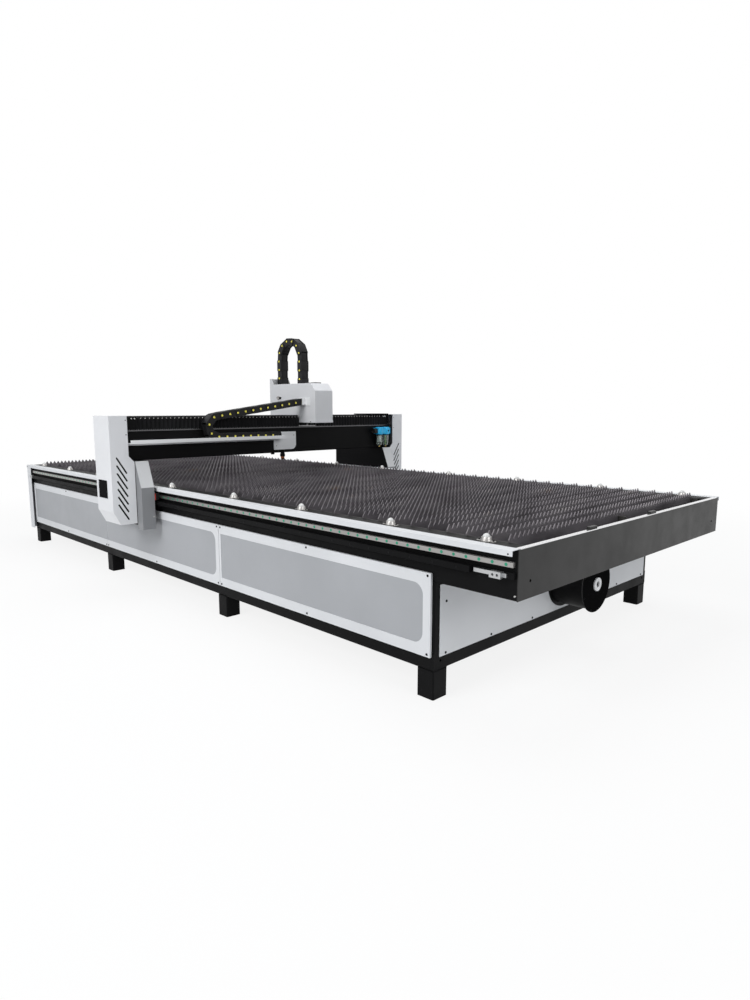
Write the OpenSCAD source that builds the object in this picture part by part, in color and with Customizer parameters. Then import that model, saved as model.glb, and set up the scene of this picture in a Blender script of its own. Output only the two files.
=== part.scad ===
// CNC plasma cutting table with a travelling gantry, built as its real pieces.
// Millimetres. X runs along the table to the end apron, Y across it, Z up.
// The origin is on the floor under the middle of the machine.

/* [Base frame] */
// Length of the leg frame over its end legs
base_l = 4764; // [4200:2:5400]
// Width of the leg frame over its legs
base_w = 2040; // [1700:2:2400]
// Side of a square leg tube
leg_size = 90; // [70:1:110]
// Floor to the lower rails
leg_h = 124; // [90:1:200]
// Height of a lower rail tube
rail_h = 80; // [60:1:100]
// Height of a post between lower rail and side beam
post_h = 301; // [260:1:380]
// Wall of the frame tubes
tube_wall = 5; // [3:0.5:8]
// Outside corner radius of the frame tubes
tube_r = 7; // [4:0.5:10]

/* [Side beams] */
// Width of a side beam across the table
beam_w = 100; // [80:1:120]
// Height of a side beam
beam_h = 192; // [180:1:210]
// How far the apron stands out past the front legs
apron_reach = 388; // [300:1:480]
// How far the rear plate stands out past the rear legs
rear_reach = 46; // [30:1:70]
// Height of the linear rail's middle above the beam's underside
x_rail_up = 137; // [130:1:142]
// Height of the rack's top above the beam's underside
x_rack_up = 108; // [100:1:110]

/* [Slat bed] */
// Distance from one slat to the next
slat_pitch = 100; // [80:1:140]
// Thickness of a slat
slat_t = 5; // [3:0.5:7]
// How far the slat points stand above the side beams
slat_up = 30; // [20:1:40]
// Height of a slat
slat_h = 118; // [90:1:130]
// Distance from one slat tooth to the next
tooth_pitch = 32; // [24:1:60]
// Depth of the gap between two teeth
tooth_h = 24; // [12:1:30]
// Thickness of the slotted bars that carry the slats
carrier_t = 8; // [5:1:12]
// Gap between a slat and its slot in all
slot_play = 1; // [0.6:0.1:2]

/* [Sheet metal] */
// Thickness of the covers and panels
sheet_t = 3; // [2:0.5:4]
// Depth of a side panel's folded edge
panel_d = 12; // [8:1:16]
// Height of a side panel
panel_h = 357; // [320:1:400]
// White border round a grey inset
inset_edge = 50; // [30:1:80]
// Corner radius of a grey inset
inset_r = 50; // [20:1:80]
// Width of the edge strip over the side beam
strip_w = 52; // [45:1:56]
// Overhang of the edge strip past the side beam
strip_over = 35; // [33:1:40]
// Height of the edge strip's lip
strip_lip = 23; // [15:1:24]

/* [Ball transfers] */
// Ball transfer's distance in from the side beam's outer face
ball_in = 52; // [50:1:58]
// Radius of a transfer ball
ball_r = 14.5; // [12:0.5:16]
// Foot radius of a ball cup
cup_r = 24; // [22:0.5:28]
// Height of a ball cup
cup_h = 19; // [16:0.5:22]

/* [Extraction duct] */
// Outside radius of the duct
duct_r = 130; // [90:1:138]
// Height of the duct's middle above the floor
duct_z = 343; // [320:1:350]
// How far the duct stands out from the end panel
duct_out = 180; // [100:1:260]
// Radius of the duct's end plate
duct_plate_r = 142; // [140:1:150]

/* [Gantry] */
// Where the gantry stands, as the middle of its beam
gantry_x = -279; // [-1000:1:1500]
// Clear height under the gantry beam above the side beams
gantry_clear = 175; // [160:1:220]
// Depth of the gantry beam along the table
gbeam_d = 160; // [150:1:170]
// Height of the gantry beam without its top plate
gbeam_h = 186; // [170:1:200]
// Thickness of the machined plate on the gantry beam
gplate_t = 12; // [8:1:16]
// Foot plate's inner face out from the side beam's face
foot_in = 54; // [52:1:64]
// Thickness of a foot plate
foot_t = 30; // [20:1:36]
// Length of a foot plate behind the wedge
foot_l = 674; // [620:1:720]
// Radius of the drive pinion over its teeth
pinion_r = 25; // [22:0.5:27]

/* [Columns] */
// Column cover's outer face out from the side beam's face
col_out = 297; // [285:1:320]
// Column cover's inner edge at its top
col_in = 180; // [170:1:190]
// Column cover's inner edge at its foot
col_foot_in = 145; // [140:1:155]
// Length of a column cover along the table
col_l = 230; // [210:1:260]
// Height of a column cover above the beam
col_up = 87; // [80:1:110]
// Width of a louvre slot
louvre_w = 11; // [5:0.5:14]

/* [Carriage] */
// Where the carriage stands across the table
carriage_y = 293; // [-600:1:640]
// Width of the carriage cover across the table
cover_w = 174; // [172:1:200]
// Height of the carriage cover
cover_h = 298; // [290:1:340]
// How far the cover reaches past the beam to the chain side
cover_front = 199; // [180:1:230]
// How far the cover reaches past the beam to the torch side
cover_back = 211; // [205:1:230]
// Radius of the torch body
torch_r = 17; // [12:0.5:17.5]

/* [Chains and bellows] */
// Distance from one chain pin to the next
link_pitch = 66; // [50:1:80]
// Height of a chain link
link_h = 50; // [40:1:54]
// Width of a chain
chain_w = 74; // [60:1:76]
// Bend radius of the long chain
y_bend = 70; // [60:1:90]
// Bend radius of the lift chain
z_bend = 130; // [110:1:140]
// Distance from one bellows pleat to the next
pleat_pitch = 30; // [24:1:50]
// Depth of a pleat
pleat_d = 10; // [6:1:12]
// Height of the bellows
bellows_h = 85; // [80:1:95]

/* [Output] */
// Which piece to build, or all of them

/* [Hidden] */
$fn = 48;

// The frame's main planes, worked out from the sizes above
side_y = base_w / 2;
end_x = (base_l + apron_reach + rear_reach) / 2;
front_x = end_x - apron_reach;
rear_x = front_x - base_l;
leg_step = (base_l - leg_size) / 3;
beam_z = leg_h + rail_h + post_h;
beam_top = beam_z + beam_h;
plate_t = 4;
bay_y = side_y - beam_w;
bed_tube = 60;

// Gap at a welded joint, so that each tube stays a piece of its own
weld_gap = 0.3;

// The slat bed
slat_tip = beam_top + slat_up;
slat_z = slat_tip - slat_h;
slat_len = 2 * bay_y - 6;
teeth = floor(slat_len / tooth_pitch);
tooth_step = slat_len / teeth;
slat_x0 = end_x - 114;
slats_n = floor((2 * end_x - 114 - 70) / slat_pitch) + 1;
carrier_top = slat_tip - tooth_h - 8;

// Rail, rack and pinion on the side beam, as distances out from its face
rail_w = 20;
rail_d = 18;
seat_d = 16;
rack_d = 22;
rack_h = 25;
x_rail_z = beam_z + x_rail_up;
x_rack_z = beam_z + x_rack_up - rack_h;
rack_x0 = -end_x + 150;
rack_x1 = end_x - 191;
block_h = 44;
block_l = 70;
mesh_gap = 0.3;
pinion_z = x_rack_z - mesh_gap - pinion_r;
shaft_r = 12;
bore_play = 0.05;

// The gantry's main planes
gb_x0 = gantry_x - gbeam_d / 2;
gb_x1 = gantry_x + gbeam_d / 2;
gb_z = beam_top + gantry_clear;
gp_z = gb_z + gbeam_h;
gb_top = gp_z + gplate_t;
gb_end = side_y + col_in + 20;
col_x1 = gb_x1 + 58;
col_x0 = col_x1 - col_l;
col_top = gb_top + col_up;
col_z = beam_z - 30;
wedge_x = col_x1 + 69;
wedge_z = beam_top + 9;
wedge_bottom = beam_z - 68;
wedge_rise = gb_z - wedge_z;
wedge_run = 67;
foot_x1 = wedge_x - sheet_t;
foot_x0 = foot_x1 - foot_l;
foot_z = wedge_bottom + 3;
pinion_x = (col_x0 + col_x1) / 2;

// The carriage and lift
cov_y0 = carriage_y - cover_w / 2;
cov_y1 = carriage_y + cover_w / 2;
cov_x0 = gb_x0 - cover_back;
cov_x1 = gb_x1 + cover_front;
cov_z = gb_top + 27;
cov_top = cov_z + cover_h;
cover_bevel = 57;
y_rail_off = 63;
base_z = gb_top + 42;
base_t = 20;
y_rack_x = gantry_x - 39;
y_rack_d = 21;
y_rack_h = 24;
y_gear_up = 8;
y_pinion_r = 22;
y_pinion_x = y_rack_x + y_rack_d + mesh_gap + y_pinion_r;
lift_x = gb_x0 - 71;
lift_t = 20;
lift_z = gb_z + 3;
z_rail_off = 55;
z_rail_w = 15;
screw_x = lift_x - lift_t - 32;
screw_r = 8;
zp_x = screw_x - 18;
zp_t = 15;
zp_z = gb_z - 12;
zp_h = 250;
zp_block = 90;
zmotor_z = base_z + 103;
torch_x = zp_x - zp_t - torch_r - 2;
torch_tip = slat_tip + 60;

// Chain routes
tray_x0 = gb_x1;
tray_x1 = gb_x1 + 90;
tray_z = gp_z - 76;
chain_x = tray_x0 + sheet_t + 8 + 37;
y_chain_z = tray_z + sheet_t + link_h / 2;
y_chain_y0 = -40;
y_chain_turn = -565;
y_chain_tilt = 8;
z_chain_x1 = gb_x1 - 50;
z_chain_z1 = base_z + 228;
z_chain_x0 = z_chain_x1 - 2 * z_bend;
z_chain_arc = cov_top + 205;

function leg_x(i) = front_x - leg_size / 2 - i * leg_step;
function slat_at(i) = slat_x0 - i * slat_pitch;
function out(d) = -(side_y + d);

// Ball transfers: a group set out from the apron, one from the rear end, and one between
ball_front = [180, 686, 1306, 1920];
ball_rear = [1978, 1398, 818, 213];
ball_between = 0.5538;
ball_a = end_x - ball_front[3];
ball_b = ball_rear[0] - end_x;
ball_xs = concat([for (d = ball_front) end_x - d], [ball_a + ball_between * (ball_b - ball_a)],
  [for (d = ball_rear) d - end_x]);

black = [0.06, 0.06, 0.065];
white = [0.86, 0.87, 0.88];
grey = [0.62, 0.63, 0.65];
steel = [0.7, 0.71, 0.72];
graphite = [0.2, 0.19, 0.19];

// Shapes that repeat

module round_rect(x, y, r) {
  square([x - 2 * r, y], center = true);
  square([x, y - 2 * r], center = true);
  for (sx = [-1, 1], sy = [-1, 1])
    translate([sx * (x / 2 - r), sy * (y / 2 - r)]) circle(r);
}

module tube(l, x, y) {
  linear_extrude(l) difference() {
    round_rect(x, y, tube_r);
    square([x - 2 * tube_wall, y - 2 * tube_wall], center = true);
  }
}

module tube_x(l, y, z) {
  rotate([90, 0, 90]) tube(l, y, z);
}

// A welded cap with a vent hole, inside the end of a tube along X
module tube_cap(y, z) {
  vent_r = 6;
  rotate([90, 0, 90]) linear_extrude(tube_wall) difference() {
    square([y - tube_wall, z - tube_wall], center = true);
    circle(vent_r);
  }
}

module tube_y(l, x, z) {
  rotate([-90, 0, 0]) tube(l, x, z);
}

module box(x0, x1, y0, y1, z0, z1) {
  translate([min(x0, x1), min(y0, y1), min(z0, z1)])
    cube([abs(x1 - x0), abs(y1 - y0), abs(z1 - z0)]);
}

// A profile in X and Z, drawn from y0 for the depth d towards minus Y
module plate_xz(y0, d) {
  translate([0, y0, 0]) rotate([90, 0, 0]) linear_extrude(d) children();
}

// A profile in Y and Z, drawn from x0 for the depth d towards plus X
module plate_yz(x0, d) {
  translate([x0, 0, 0]) rotate([90, 0, 90]) linear_extrude(d) children();
}

// A drilled or solid bar along Y, from y0 for the length l towards plus Y
module rod_y(x, y0, z, r, l) {
  translate([x, y0, z]) rotate([-90, 0, 0]) cylinder(h = l, r = r);
}

module rod_x(x0, y, z, r, l) {
  translate([x0, y, z]) rotate([0, 90, 0]) cylinder(h = l, r = r);
}

module rod_z(x, y, z0, r, l) {
  translate([x, y, z0]) cylinder(h = l, r = r);
}

// What stands on the near side, copied to the far side
module both_sides() {
  children();
  mirror([0, 1, 0]) children();
}

// Base frame

module legs() {
  color(black) both_sides() for (i = [0:3])
    translate([leg_x(i), out(-leg_size / 2), 0]) {
      linear_extrude(tube_wall) round_rect(leg_size, leg_size, tube_r);
      translate([0, 0, tube_wall]) tube(leg_h - tube_wall, leg_size, leg_size);
    }
}

module lower_rails() {
  color(black) {
    both_sides() translate([rear_x, out(-leg_size / 2), leg_h + rail_h / 2]) {
      tube_x(base_l, leg_size, rail_h);
      for (x = [0, base_l - tube_wall]) translate([x, 0, 0]) tube_cap(leg_size, rail_h);
    }
    for (i = [0:3]) translate([leg_x(i), out(-leg_size - weld_gap), leg_h + rail_h / 2])
      tube_y(base_w - 2 * (leg_size + weld_gap), leg_size, rail_h);
  }
}

module posts() {
  color(black) both_sides() for (i = [0:3])
    translate([leg_x(i), out(-leg_size / 2), leg_h + rail_h]) tube(post_h, leg_size, leg_size);
}

// A side beam is a tube with the machined seat for its rack welded on
module side_beam_near() {
  color(black) {
    translate([-end_x + plate_t, out(-beam_w / 2), beam_z + beam_h / 2])
      tube_x(2 * (end_x - plate_t), beam_w, beam_h);
    box(rack_x0 - 60, end_x - 10, out(seat_d), out(-tube_wall), x_rack_z, x_rack_z + rack_h);
  }
}

module side_beam_far() {
  mirror([0, 1, 0]) side_beam_near();
}

module bed_beams() {
  xs = concat([for (i = [0:3]) leg_x(i)], [end_x - 150]);
  color(black) for (x = xs)
    translate([x, -bay_y, beam_z + bed_tube / 2]) tube_y(2 * bay_y, bed_tube, bed_tube);
}

// A bar with one slot for each slat
module slat_carriers() {
  slot = slat_t + slot_play;
  comb = [for (i = [0:slats_n - 1]) each [
    [slat_at(i) + slot / 2, carrier_top], [slat_at(i) + slot / 2, slat_z],
    [slat_at(i) - slot / 2, slat_z], [slat_at(i) - slot / 2, carrier_top]]];
  x0 = slat_at(slats_n - 1) - 40;
  x1 = slat_x0 + 40;
  z0 = beam_z + bed_tube;
  for (y = [-bay_y + carrier_t, carrier_t / 2, bay_y])
    color(graphite) plate_xz(y, carrier_t)
      polygon(concat([[x0, z0], [x1, z0], [x1, carrier_top]], comb, [[x0, carrier_top]]));
}

// Saw-toothed slats that carry the sheet on their points
module slats() {
  valley = slat_tip - tooth_h;
  half = slat_len / 2;
  edge = [for (k = [0:teeth - 1]) each [
    [half - k * tooth_step, valley], [half - (k + 0.5) * tooth_step, slat_tip]]];
  color(graphite) for (i = [0:slats_n - 1])
    plate_yz(slat_at(i) - slat_t / 2, slat_t)
      polygon(concat([[-half, valley], [-half, slat_z], [half, slat_z]], edge));
}

// Shallow pans under the bed that catch slag, one in each bay
module slag_trays() {
  lap = 30;
  y1 = side_y - leg_size - 10;
  z0 = leg_h + rail_h;
  color(graphite) for (i = [0:2]) difference() {
    box(leg_x(i + 1) + leg_size / 2 - lap, leg_x(i) - leg_size / 2 + lap, -y1, y1, z0, z0 + 80);
    box(leg_x(i + 1) + leg_size / 2 - lap + plate_t, leg_x(i) - leg_size / 2 + lap - plate_t,
      -y1 + plate_t, y1 - plate_t, z0 + plate_t, z0 + 90);
  }
}

// Side and end covers

panel_z = leg_h + rail_h / 2 + 21;
panel_gap = 3;
panel_xs = [front_x - 10, leg_x(1), leg_x(2), rear_x + 50];

// Grey insets: one on the first panel, one run across the other two
inset_spans = [[panel_xs[1] + 20, panel_xs[0] - 42], [panel_xs[3] + 30, panel_xs[1] - 38]];

module inset_shape(span, grow) {
  x0 = span[0] - grow;
  x1 = span[1] + grow;
  z0 = panel_z + inset_edge - grow;
  z1 = panel_z + panel_h - inset_edge + grow;
  difference() {
    translate([x0, z0]) square([x1 - x0, z1 - z0]);
    for (z = [z0, z1]) translate([x1, z]) square(2 * inset_r, center = true);
  }
  for (z = [z0 + inset_r, z1 - inset_r]) translate([x1 - inset_r, z]) circle(inset_r);
}

module near_panels() {
  for (i = [0:2]) difference() {
    box(panel_xs[i + 1] + panel_gap / 2, panel_xs[i] - panel_gap / 2, out(panel_d), out(0),
      panel_z, panel_z + panel_h);
    box(panel_xs[i + 1] + panel_gap / 2 + sheet_t, panel_xs[i] - panel_gap / 2 - sheet_t,
      out(panel_d - sheet_t), out(-1), panel_z + sheet_t, panel_z + panel_h - sheet_t);
    for (span = inset_spans) plate_xz(out(panel_d - sheet_t - 1), sheet_t + 2)
      inset_shape(span, 0);
  }
}

module side_panels() {
  color(white) both_sides() near_panels();
}

module panel_insets() {
  lap = 12;
  color(grey) both_sides() {
    plate_xz(out(panel_d - 2 * sheet_t), sheet_t) inset_shape(inset_spans[0], lap);
    difference() {
      plate_xz(out(panel_d - 2 * sheet_t), sheet_t) inset_shape(inset_spans[1], lap);
      box(panel_xs[2] - panel_gap / 2 - sheet_t, panel_xs[2] + panel_gap / 2 + sheet_t, out(panel_d),
        out(0), panel_z, panel_z + panel_h);
    }
  }
}

module end_panel_front() {
  color(white) difference() {
    box(front_x, front_x + sheet_t, out(-34), side_y - 34, leg_h + 58, beam_z - 15);
    rod_x(front_x - 1, 0, duct_z, duct_r, sheet_t + 2);
  }
}

// A folded plate that closes the rear end, with side returns
module end_plate_rear() {
  wide = side_y + 30;
  deep = 88;
  color(white) {
    box(-end_x, -end_x + plate_t, -wide, wide, leg_h + 3, beam_top);
    both_sides() box(-end_x, -end_x + deep, -wide, -wide + plate_t, leg_h + 3, beam_top);
  }
}

module end_apron() {
  fold = 30;
  color(graphite) difference() {
    union() {
      box(end_x - plate_t, end_x, -side_y, side_y, beam_z, beam_top);
      box(end_x - fold, end_x, -bay_y, bay_y, beam_top - plate_t, beam_top);
      box(end_x - fold, end_x, -bay_y, bay_y, beam_z, beam_z + plate_t);
      for (y = [-438, 162]) box(end_x - fold, end_x - 12, y - 30, y + 30, beam_top, beam_top + 14);
    }
    for (s = [-1, 1]) rod_x(end_x - plate_t - 1, s * (side_y - 82), beam_z + 66, 6, plate_t + 2);
  }
}

module near_strip() {
  x0 = -end_x + plate_t + 2;
  x1 = end_x - plate_t - 2;
  box(x0, x1, out(strip_over), out(strip_over - strip_w), beam_top, beam_top + sheet_t);
  box(x0, x1, out(strip_over), out(strip_over - sheet_t), beam_top + sheet_t - strip_lip,
    beam_top + sheet_t);
}

module edge_strips() {
  color(white) both_sides() near_strip();
}

// Linear rail with the waist that its blocks grip
module rail_profile(w, d) {
  h = w / 2;
  polygon([[0, -h], [0, h], [-0.34 * d, h], [-0.47 * d, 0.8 * h], [-0.66 * d, 0.8 * h],
    [-0.8 * d, h], [-0.95 * d, h], [-d, 0.9 * h], [-d, -0.9 * h], [-0.95 * d, -h],
    [-0.8 * d, -h], [-0.66 * d, -0.8 * h], [-0.47 * d, -0.8 * h], [-0.34 * d, -h]]);
}

module x_rails() {
  color(steel) both_sides() translate([rack_x0 - 50, out(0), x_rail_z])
    rotate([90, 0, 90]) linear_extrude(end_x - 12 - (rack_x0 - 50)) rail_profile(rail_w, rail_d);
}

module x_racks() {
  color(black) both_sides()
    box(rack_x0, rack_x1, out(seat_d), out(seat_d + rack_d), x_rack_z, x_rack_z + rack_h);
}

// A stop block at each end of a rack, the front one on a flat bar that runs on to the apron
module travel_stops() {
  stop_l = 50;
  bar_d = 8;
  bar_h = 15;
  color(grey) both_sides() {
    box(rack_x1 + 10, end_x - 36, out(seat_d), out(seat_d + bar_d), x_rack_z + 5, x_rack_z + 5 + bar_h);
    for (x = [end_x - 100, rack_x0 - 58]) difference() {
      box(x, x + stop_l, out(seat_d), out(seat_d + 24), x_rack_z, x_rack_z + rack_h);
      for (t = [0.3, 0.7]) rod_y(x + t * stop_l, out(seat_d + 25), x_rack_z + rack_h / 2, 5, 16);
    }
  }
}

module at_balls() {
  for (x = ball_xs) translate([x, out(-ball_in), beam_top]) children();
}

module ball_cups() {
  floor_t = 3;
  cup_wall = 4.5;
  color(steel) both_sides() at_balls() difference() {
    union() {
      cylinder(h = cup_h, r1 = cup_r, r2 = ball_r + cup_wall);
      linear_extrude(4) round_rect(2 * cup_r + 34, 24, 8);
    }
    translate([0, 0, floor_t]) cylinder(h = cup_h, r = ball_r + 1.4);
  }
}

module transfer_balls() {
  color(white) both_sides() at_balls() translate([0, 0, 3 + ball_r]) sphere(ball_r);
}

// Extraction duct at the front end

module exhaust_duct() {
  color(black) difference() {
    union() {
      rod_x(front_x - 20, 0, duct_z, duct_r, duct_out + 20);
      rod_x(front_x + sheet_t, 0, duct_z, duct_r + 16, 6);
    }
    rod_x(front_x - 21, 0, duct_z, duct_r - sheet_t, duct_out + 22);
  }
}

module duct_end_plate() {
  color(black) difference() {
    rod_x(front_x + duct_out, 0, duct_z, duct_plate_r, 6);
    rod_x(front_x + duct_out - 1, 0, duct_z, 15, 8);
  }
}

module duct_hub() {
  color(white) difference() {
    rod_x(front_x + duct_out + 6, 0, duct_z, 34, 9);
    rod_x(front_x + duct_out + 5, 0, duct_z, 15, 11);
  }
}

// Gantry

module gantry_beam() {
  color(black) difference() {
    translate([gantry_x, -gb_end, gb_z + gbeam_h / 2]) rotate([-90, 0, 0])
      linear_extrude(2 * gb_end) round_rect(gbeam_d, gbeam_h, tube_r);
    box(gb_x0 + tube_wall, gb_x1 - tube_wall, -gb_end + tube_wall, gb_end - tube_wall,
      gb_z + tube_wall, gp_z - tube_wall);
  }
}

module beam_top_plate() {
  color(steel) box(gb_x0 - 2, gb_x1 + 2, -gb_end, gb_end, gp_z, gb_top);
}

block_xs = [foot_x0 + 70, foot_x1 - 115];

// The foot plate's front edge follows the inside of the wedge cover
wedge_n = [wedge_rise, wedge_run] / norm([wedge_run, wedge_rise]);
foot_slope_z = wedge_z - sheet_t * wedge_n[1] + sheet_t * (1 - wedge_n[0]) * wedge_rise / wedge_run;
foot_slope_x = wedge_x - sheet_t * wedge_n[0] - wedge_run - sheet_t * wedge_n[1] * wedge_run / wedge_rise;

module foot_plate_near() {
  back = foot_in + foot_t;
  color(black) difference() {
    union() {
      plate_xz(out(foot_in), foot_t) polygon([[foot_x0, foot_z], [foot_x1, foot_z],
        [foot_x1, foot_slope_z], [foot_slope_x, gb_z], [foot_x0, gb_z]]);
      for (x = [col_x0 + sheet_t, col_x1 - sheet_t - 24]) box(x, x + 24, out(back), out(col_in + 20),
        beam_z + 135, beam_z + 175);
    }
    rod_y(pinion_x, out(back + 1), pinion_z, pinion_r + 4, foot_t + 2);
  }
}

module foot_plate_far() {
  mirror([0, 1, 0]) foot_plate_near();
}

// Wedge of folded sheet that shields the front of a foot
module near_foot_cover() {
  wide = col_foot_in - 4 - foot_in;
  top = gb_z - 1;
  x0 = col_x1 - sheet_t;
  slope = wedge_run / wedge_rise;
  difference() {
    plate_xz(out(foot_in), wide) polygon([[x0, wedge_bottom], [wedge_x, wedge_bottom],
      [wedge_x, wedge_z], [wedge_x - slope * (top - wedge_z), top], [x0, top]]);
    plate_xz(out(foot_in - 1), wide + 1 - sheet_t) polygon([[x0 - 20, wedge_bottom - 1],
      [foot_x1, wedge_bottom - 1], [foot_x1, foot_slope_z], [foot_slope_x - 10 * slope, gb_z + 10],
      [x0 - 20, gb_z + 10]]);
  }
}

module foot_covers() {
  color(grey) both_sides() near_foot_cover();
}

// Folded column cover, open to the beam, with slanting louvre slots
module column_cover_near() {
  skew = 45;
  louvres = 7;
  louvre_l = 112;
  color(white) difference() {
    plate_yz(col_x0, col_l) polygon([[out(col_in), col_top], [out(col_out), col_top],
      [out(col_out), col_z + 85], [out(col_out - skew), col_z], [out(col_foot_in), col_z],
      [out(col_foot_in), gb_z - 4], [out(col_in), gb_z + 33]]);
    plate_yz(col_x0 + sheet_t, col_l - 2 * sheet_t) polygon([[out(col_in - 60), col_top - sheet_t],
      [out(col_out - sheet_t), col_top - sheet_t], [out(col_out - sheet_t), col_z + 86],
      [out(col_out - skew - 1), col_z + sheet_t], [out(col_foot_in - 60), col_z + sheet_t]]);
    for (i = [0:louvres - 1])
      translate([0, out(229), gb_z - 23 - 49 * i]) rotate([-58.5, 0, 0])
        plate_yz(col_x1 - sheet_t - 1, sheet_t + 2) {
          square([louvre_l, louvre_w], center = true);
          for (s = [-1, 1]) translate([s * louvre_l / 2, 0]) circle(louvre_w / 2);
        }
    box(col_x0 + 28, col_x0 + 161, out(col_out + 1), out(col_out - sheet_t - 1), beam_z + 135,
      beam_z + 250);
  }
}

module column_cover_far() {
  mirror([0, 1, 0]) column_cover_near();
}

module service_panels() {
  color(black) both_sides() box(col_x0 + 20, col_x0 + 169, out(col_out - sheet_t),
    out(col_out - 2 * sheet_t), beam_z + 127, beam_z + 258);
}

// A rail block with the packer that bolts it to the foot plate
module x_blocks() {
  play = 0.5;
  color(steel) both_sides() for (x = block_xs) difference() {
    box(x - block_l / 2, x + block_l / 2, out(4), out(foot_in), x_rail_z - block_h / 2,
      x_rail_z + block_h / 2);
    box(x - block_l, x + block_l, out(0), out(rail_d + play), x_rail_z - rail_w / 2 - play,
      x_rail_z + rail_w / 2 + play);
  }
}

// Servo motor and reducer on the outside of a foot plate
module near_drive() {
  d0 = foot_in + foot_t;
  difference() {
    union() {
      box(pinion_x - 45, pinion_x + 45, out(d0), out(d0 + 58), pinion_z - 45, pinion_z + 45);
      box(pinion_x - 40, pinion_x + 40, out(d0 + 58), out(d0 + 150), pinion_z - 40, pinion_z + 40);
      rod_y(pinion_x, out(d0 + 168), pinion_z, 36, 18);
    }
    rod_y(pinion_x, out(d0 + 30), pinion_z, shaft_r + bore_play, 31);
  }
}

module x_drives() {
  color(graphite) both_sides() near_drive();
}

// A spur gear with straight-sided teeth
module gear(r, n, w) {
  step = 360 / n;
  root = r - 4.5;
  linear_extrude(w) polygon([for (k = [0:n - 1], t = [[root, -0.32], [r, -0.14], [r, 0.14],
    [root, 0.32]]) t[0] * [cos((k + t[1]) * step), sin((k + t[1]) * step)]]);
}

module x_pinion_near() {
  color(steel) {
    translate([pinion_x, out(seat_d), pinion_z]) rotate([90, 0, 0]) gear(pinion_r, 24, rack_d);
    rod_y(pinion_x, out(foot_in + foot_t + 28), pinion_z, shaft_r,
      foot_in + foot_t + 28 - seat_d - rack_d);
  }
}

module x_pinion_far() {
  mirror([0, 1, 0]) x_pinion_near();
}

bel_end = side_y + col_in - 10;
bel_w = gbeam_d / 2 + 10;

module y_rails() {
  color(steel) for (s = [-1, 1]) translate([gantry_x + s * y_rail_off, 0, gb_top])
    plate_xz(bel_end, 2 * bel_end) rotate(-90) rail_profile(rail_w, rail_d);
}

module y_rack() {
  color(steel) box(y_rack_x, y_rack_x + y_rack_d, -bel_end, bel_end, gb_top, gb_top + y_rack_h);
}

// A pleated cover over the beam's top, folded on its top and both sides
module bellows(y0, y1) {
  pleats = round((y1 - y0) / pleat_pitch);
  step = (y1 - y0) / pleats;
  ridge = gb_top + bellows_h;
  valley = ridge - pleat_d;
  zig = [for (k = [0:pleats - 1]) each [[y0 + k * step, 0], [y0 + (k + 0.5) * step, 1]]];
  fold = concat(zig, [[y1, 0]]);
  n = len(fold);
  in_w = bel_w - pleat_d;
  color(black) difference() {
    intersection() {
      plate_yz(gantry_x - bel_w - 1, 2 * bel_w + 2)
        polygon(concat([[y1, gb_top], [y0, gb_top]], [for (f = fold) [f[0], valley + f[1] * pleat_d]]));
      translate([gantry_x, 0, gb_top]) linear_extrude(bellows_h + 1)
        polygon(concat([for (f = fold) [in_w + f[1] * pleat_d, f[0]]],
          [for (k = [n - 1:-1:0]) [-in_w - fold[k][1] * pleat_d, fold[k][0]]]));
    }
    box(gantry_x - in_w + sheet_t, gantry_x + in_w - sheet_t, y0 - 1, y1 + 1, gb_top - 1,
      valley - sheet_t);
  }
}

module bellows_near() {
  bellows(-bel_end, cov_y0 - 0.5);
}

module bellows_far() {
  bellows(cov_y1 + 0.5, bel_end);
}

module bellows_mounts() {
  top = gb_top + bellows_h;
  color(black) {
    for (y = [-bel_end - 5, bel_end]) box(gantry_x - bel_w, gantry_x + bel_w, y, y + 5, gb_top, top);
    box(gantry_x - bel_w, gantry_x + bel_w, bel_end - 240, bel_end + 5, top, top + 8);
  }
}

// Long chain's tray along the beam
tray_y0 = out(col_in - 4);
tray_y1 = y_chain_y0 + 50;

module chain_tray() {
  color(white) {
    box(tray_x0, tray_x1, tray_y0, tray_y1, tray_z, tray_z + sheet_t);
    box(tray_x1 - sheet_t, tray_x1, tray_y0, tray_y1, tray_z, tray_z + 23);
    box(tray_x0, tray_x0 + sheet_t, tray_y0, tray_y1, tray_z - 14, tray_z + sheet_t);
  }
}

module chain_plate() {
  r = 40;
  y0 = tray_y1 - 50;
  y1 = tray_y1 + 160;
  color(white) plate_yz(gb_x1, 4) difference() {
    union() {
      translate([y0, gb_z + 23 + r]) square([y1 - y0, tray_z - gb_z - 38 - r]);
      translate([y0, gb_z + 23]) square([y1 - y0 - r, tray_z - gb_z - 38]);
      translate([tray_y1 + 1, gb_z + 23 + r]) square([y1 - tray_y1 - 1, tray_z - gb_z + 25 - r]);
      translate([y1 - r, gb_z + 23 + r]) circle(r);
    }
    translate([y1 - 20, tray_z + 20]) circle(4);
  }
}

// One chain link on X, its pins at plus and minus half of c along Y
module chain_link(c, outer) {
  plate = 4.6;
  x = chain_w / 2 - (outer ? 0 : 5);
  r = link_h / 2;
  for (x0 = [-x, x - plate]) plate_yz(x0, plate) {
    square([c, link_h], center = true);
    for (s = [-1, 1]) translate([s * c / 2, 0]) circle(r);
  }
  for (s = [-1, 1]) translate([0, 0, s * (r - 2.5)]) cube([2 * x - plate, 28, 5], center = true);
}

// The long chain lies in its tray, turns over and climbs to the carriage
y_run = y_chain_y0 - y_chain_turn;
y_arc = y_bend * (180 - y_chain_tilt) * PI / 180;
y_top = [y_chain_turn - y_bend * sin(y_chain_tilt), y_chain_z + y_bend * (1 + cos(y_chain_tilt))];
y_climb = (cov_y0 - 4 - link_h / 2 - y_top[0]) / cos(y_chain_tilt);

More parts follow.
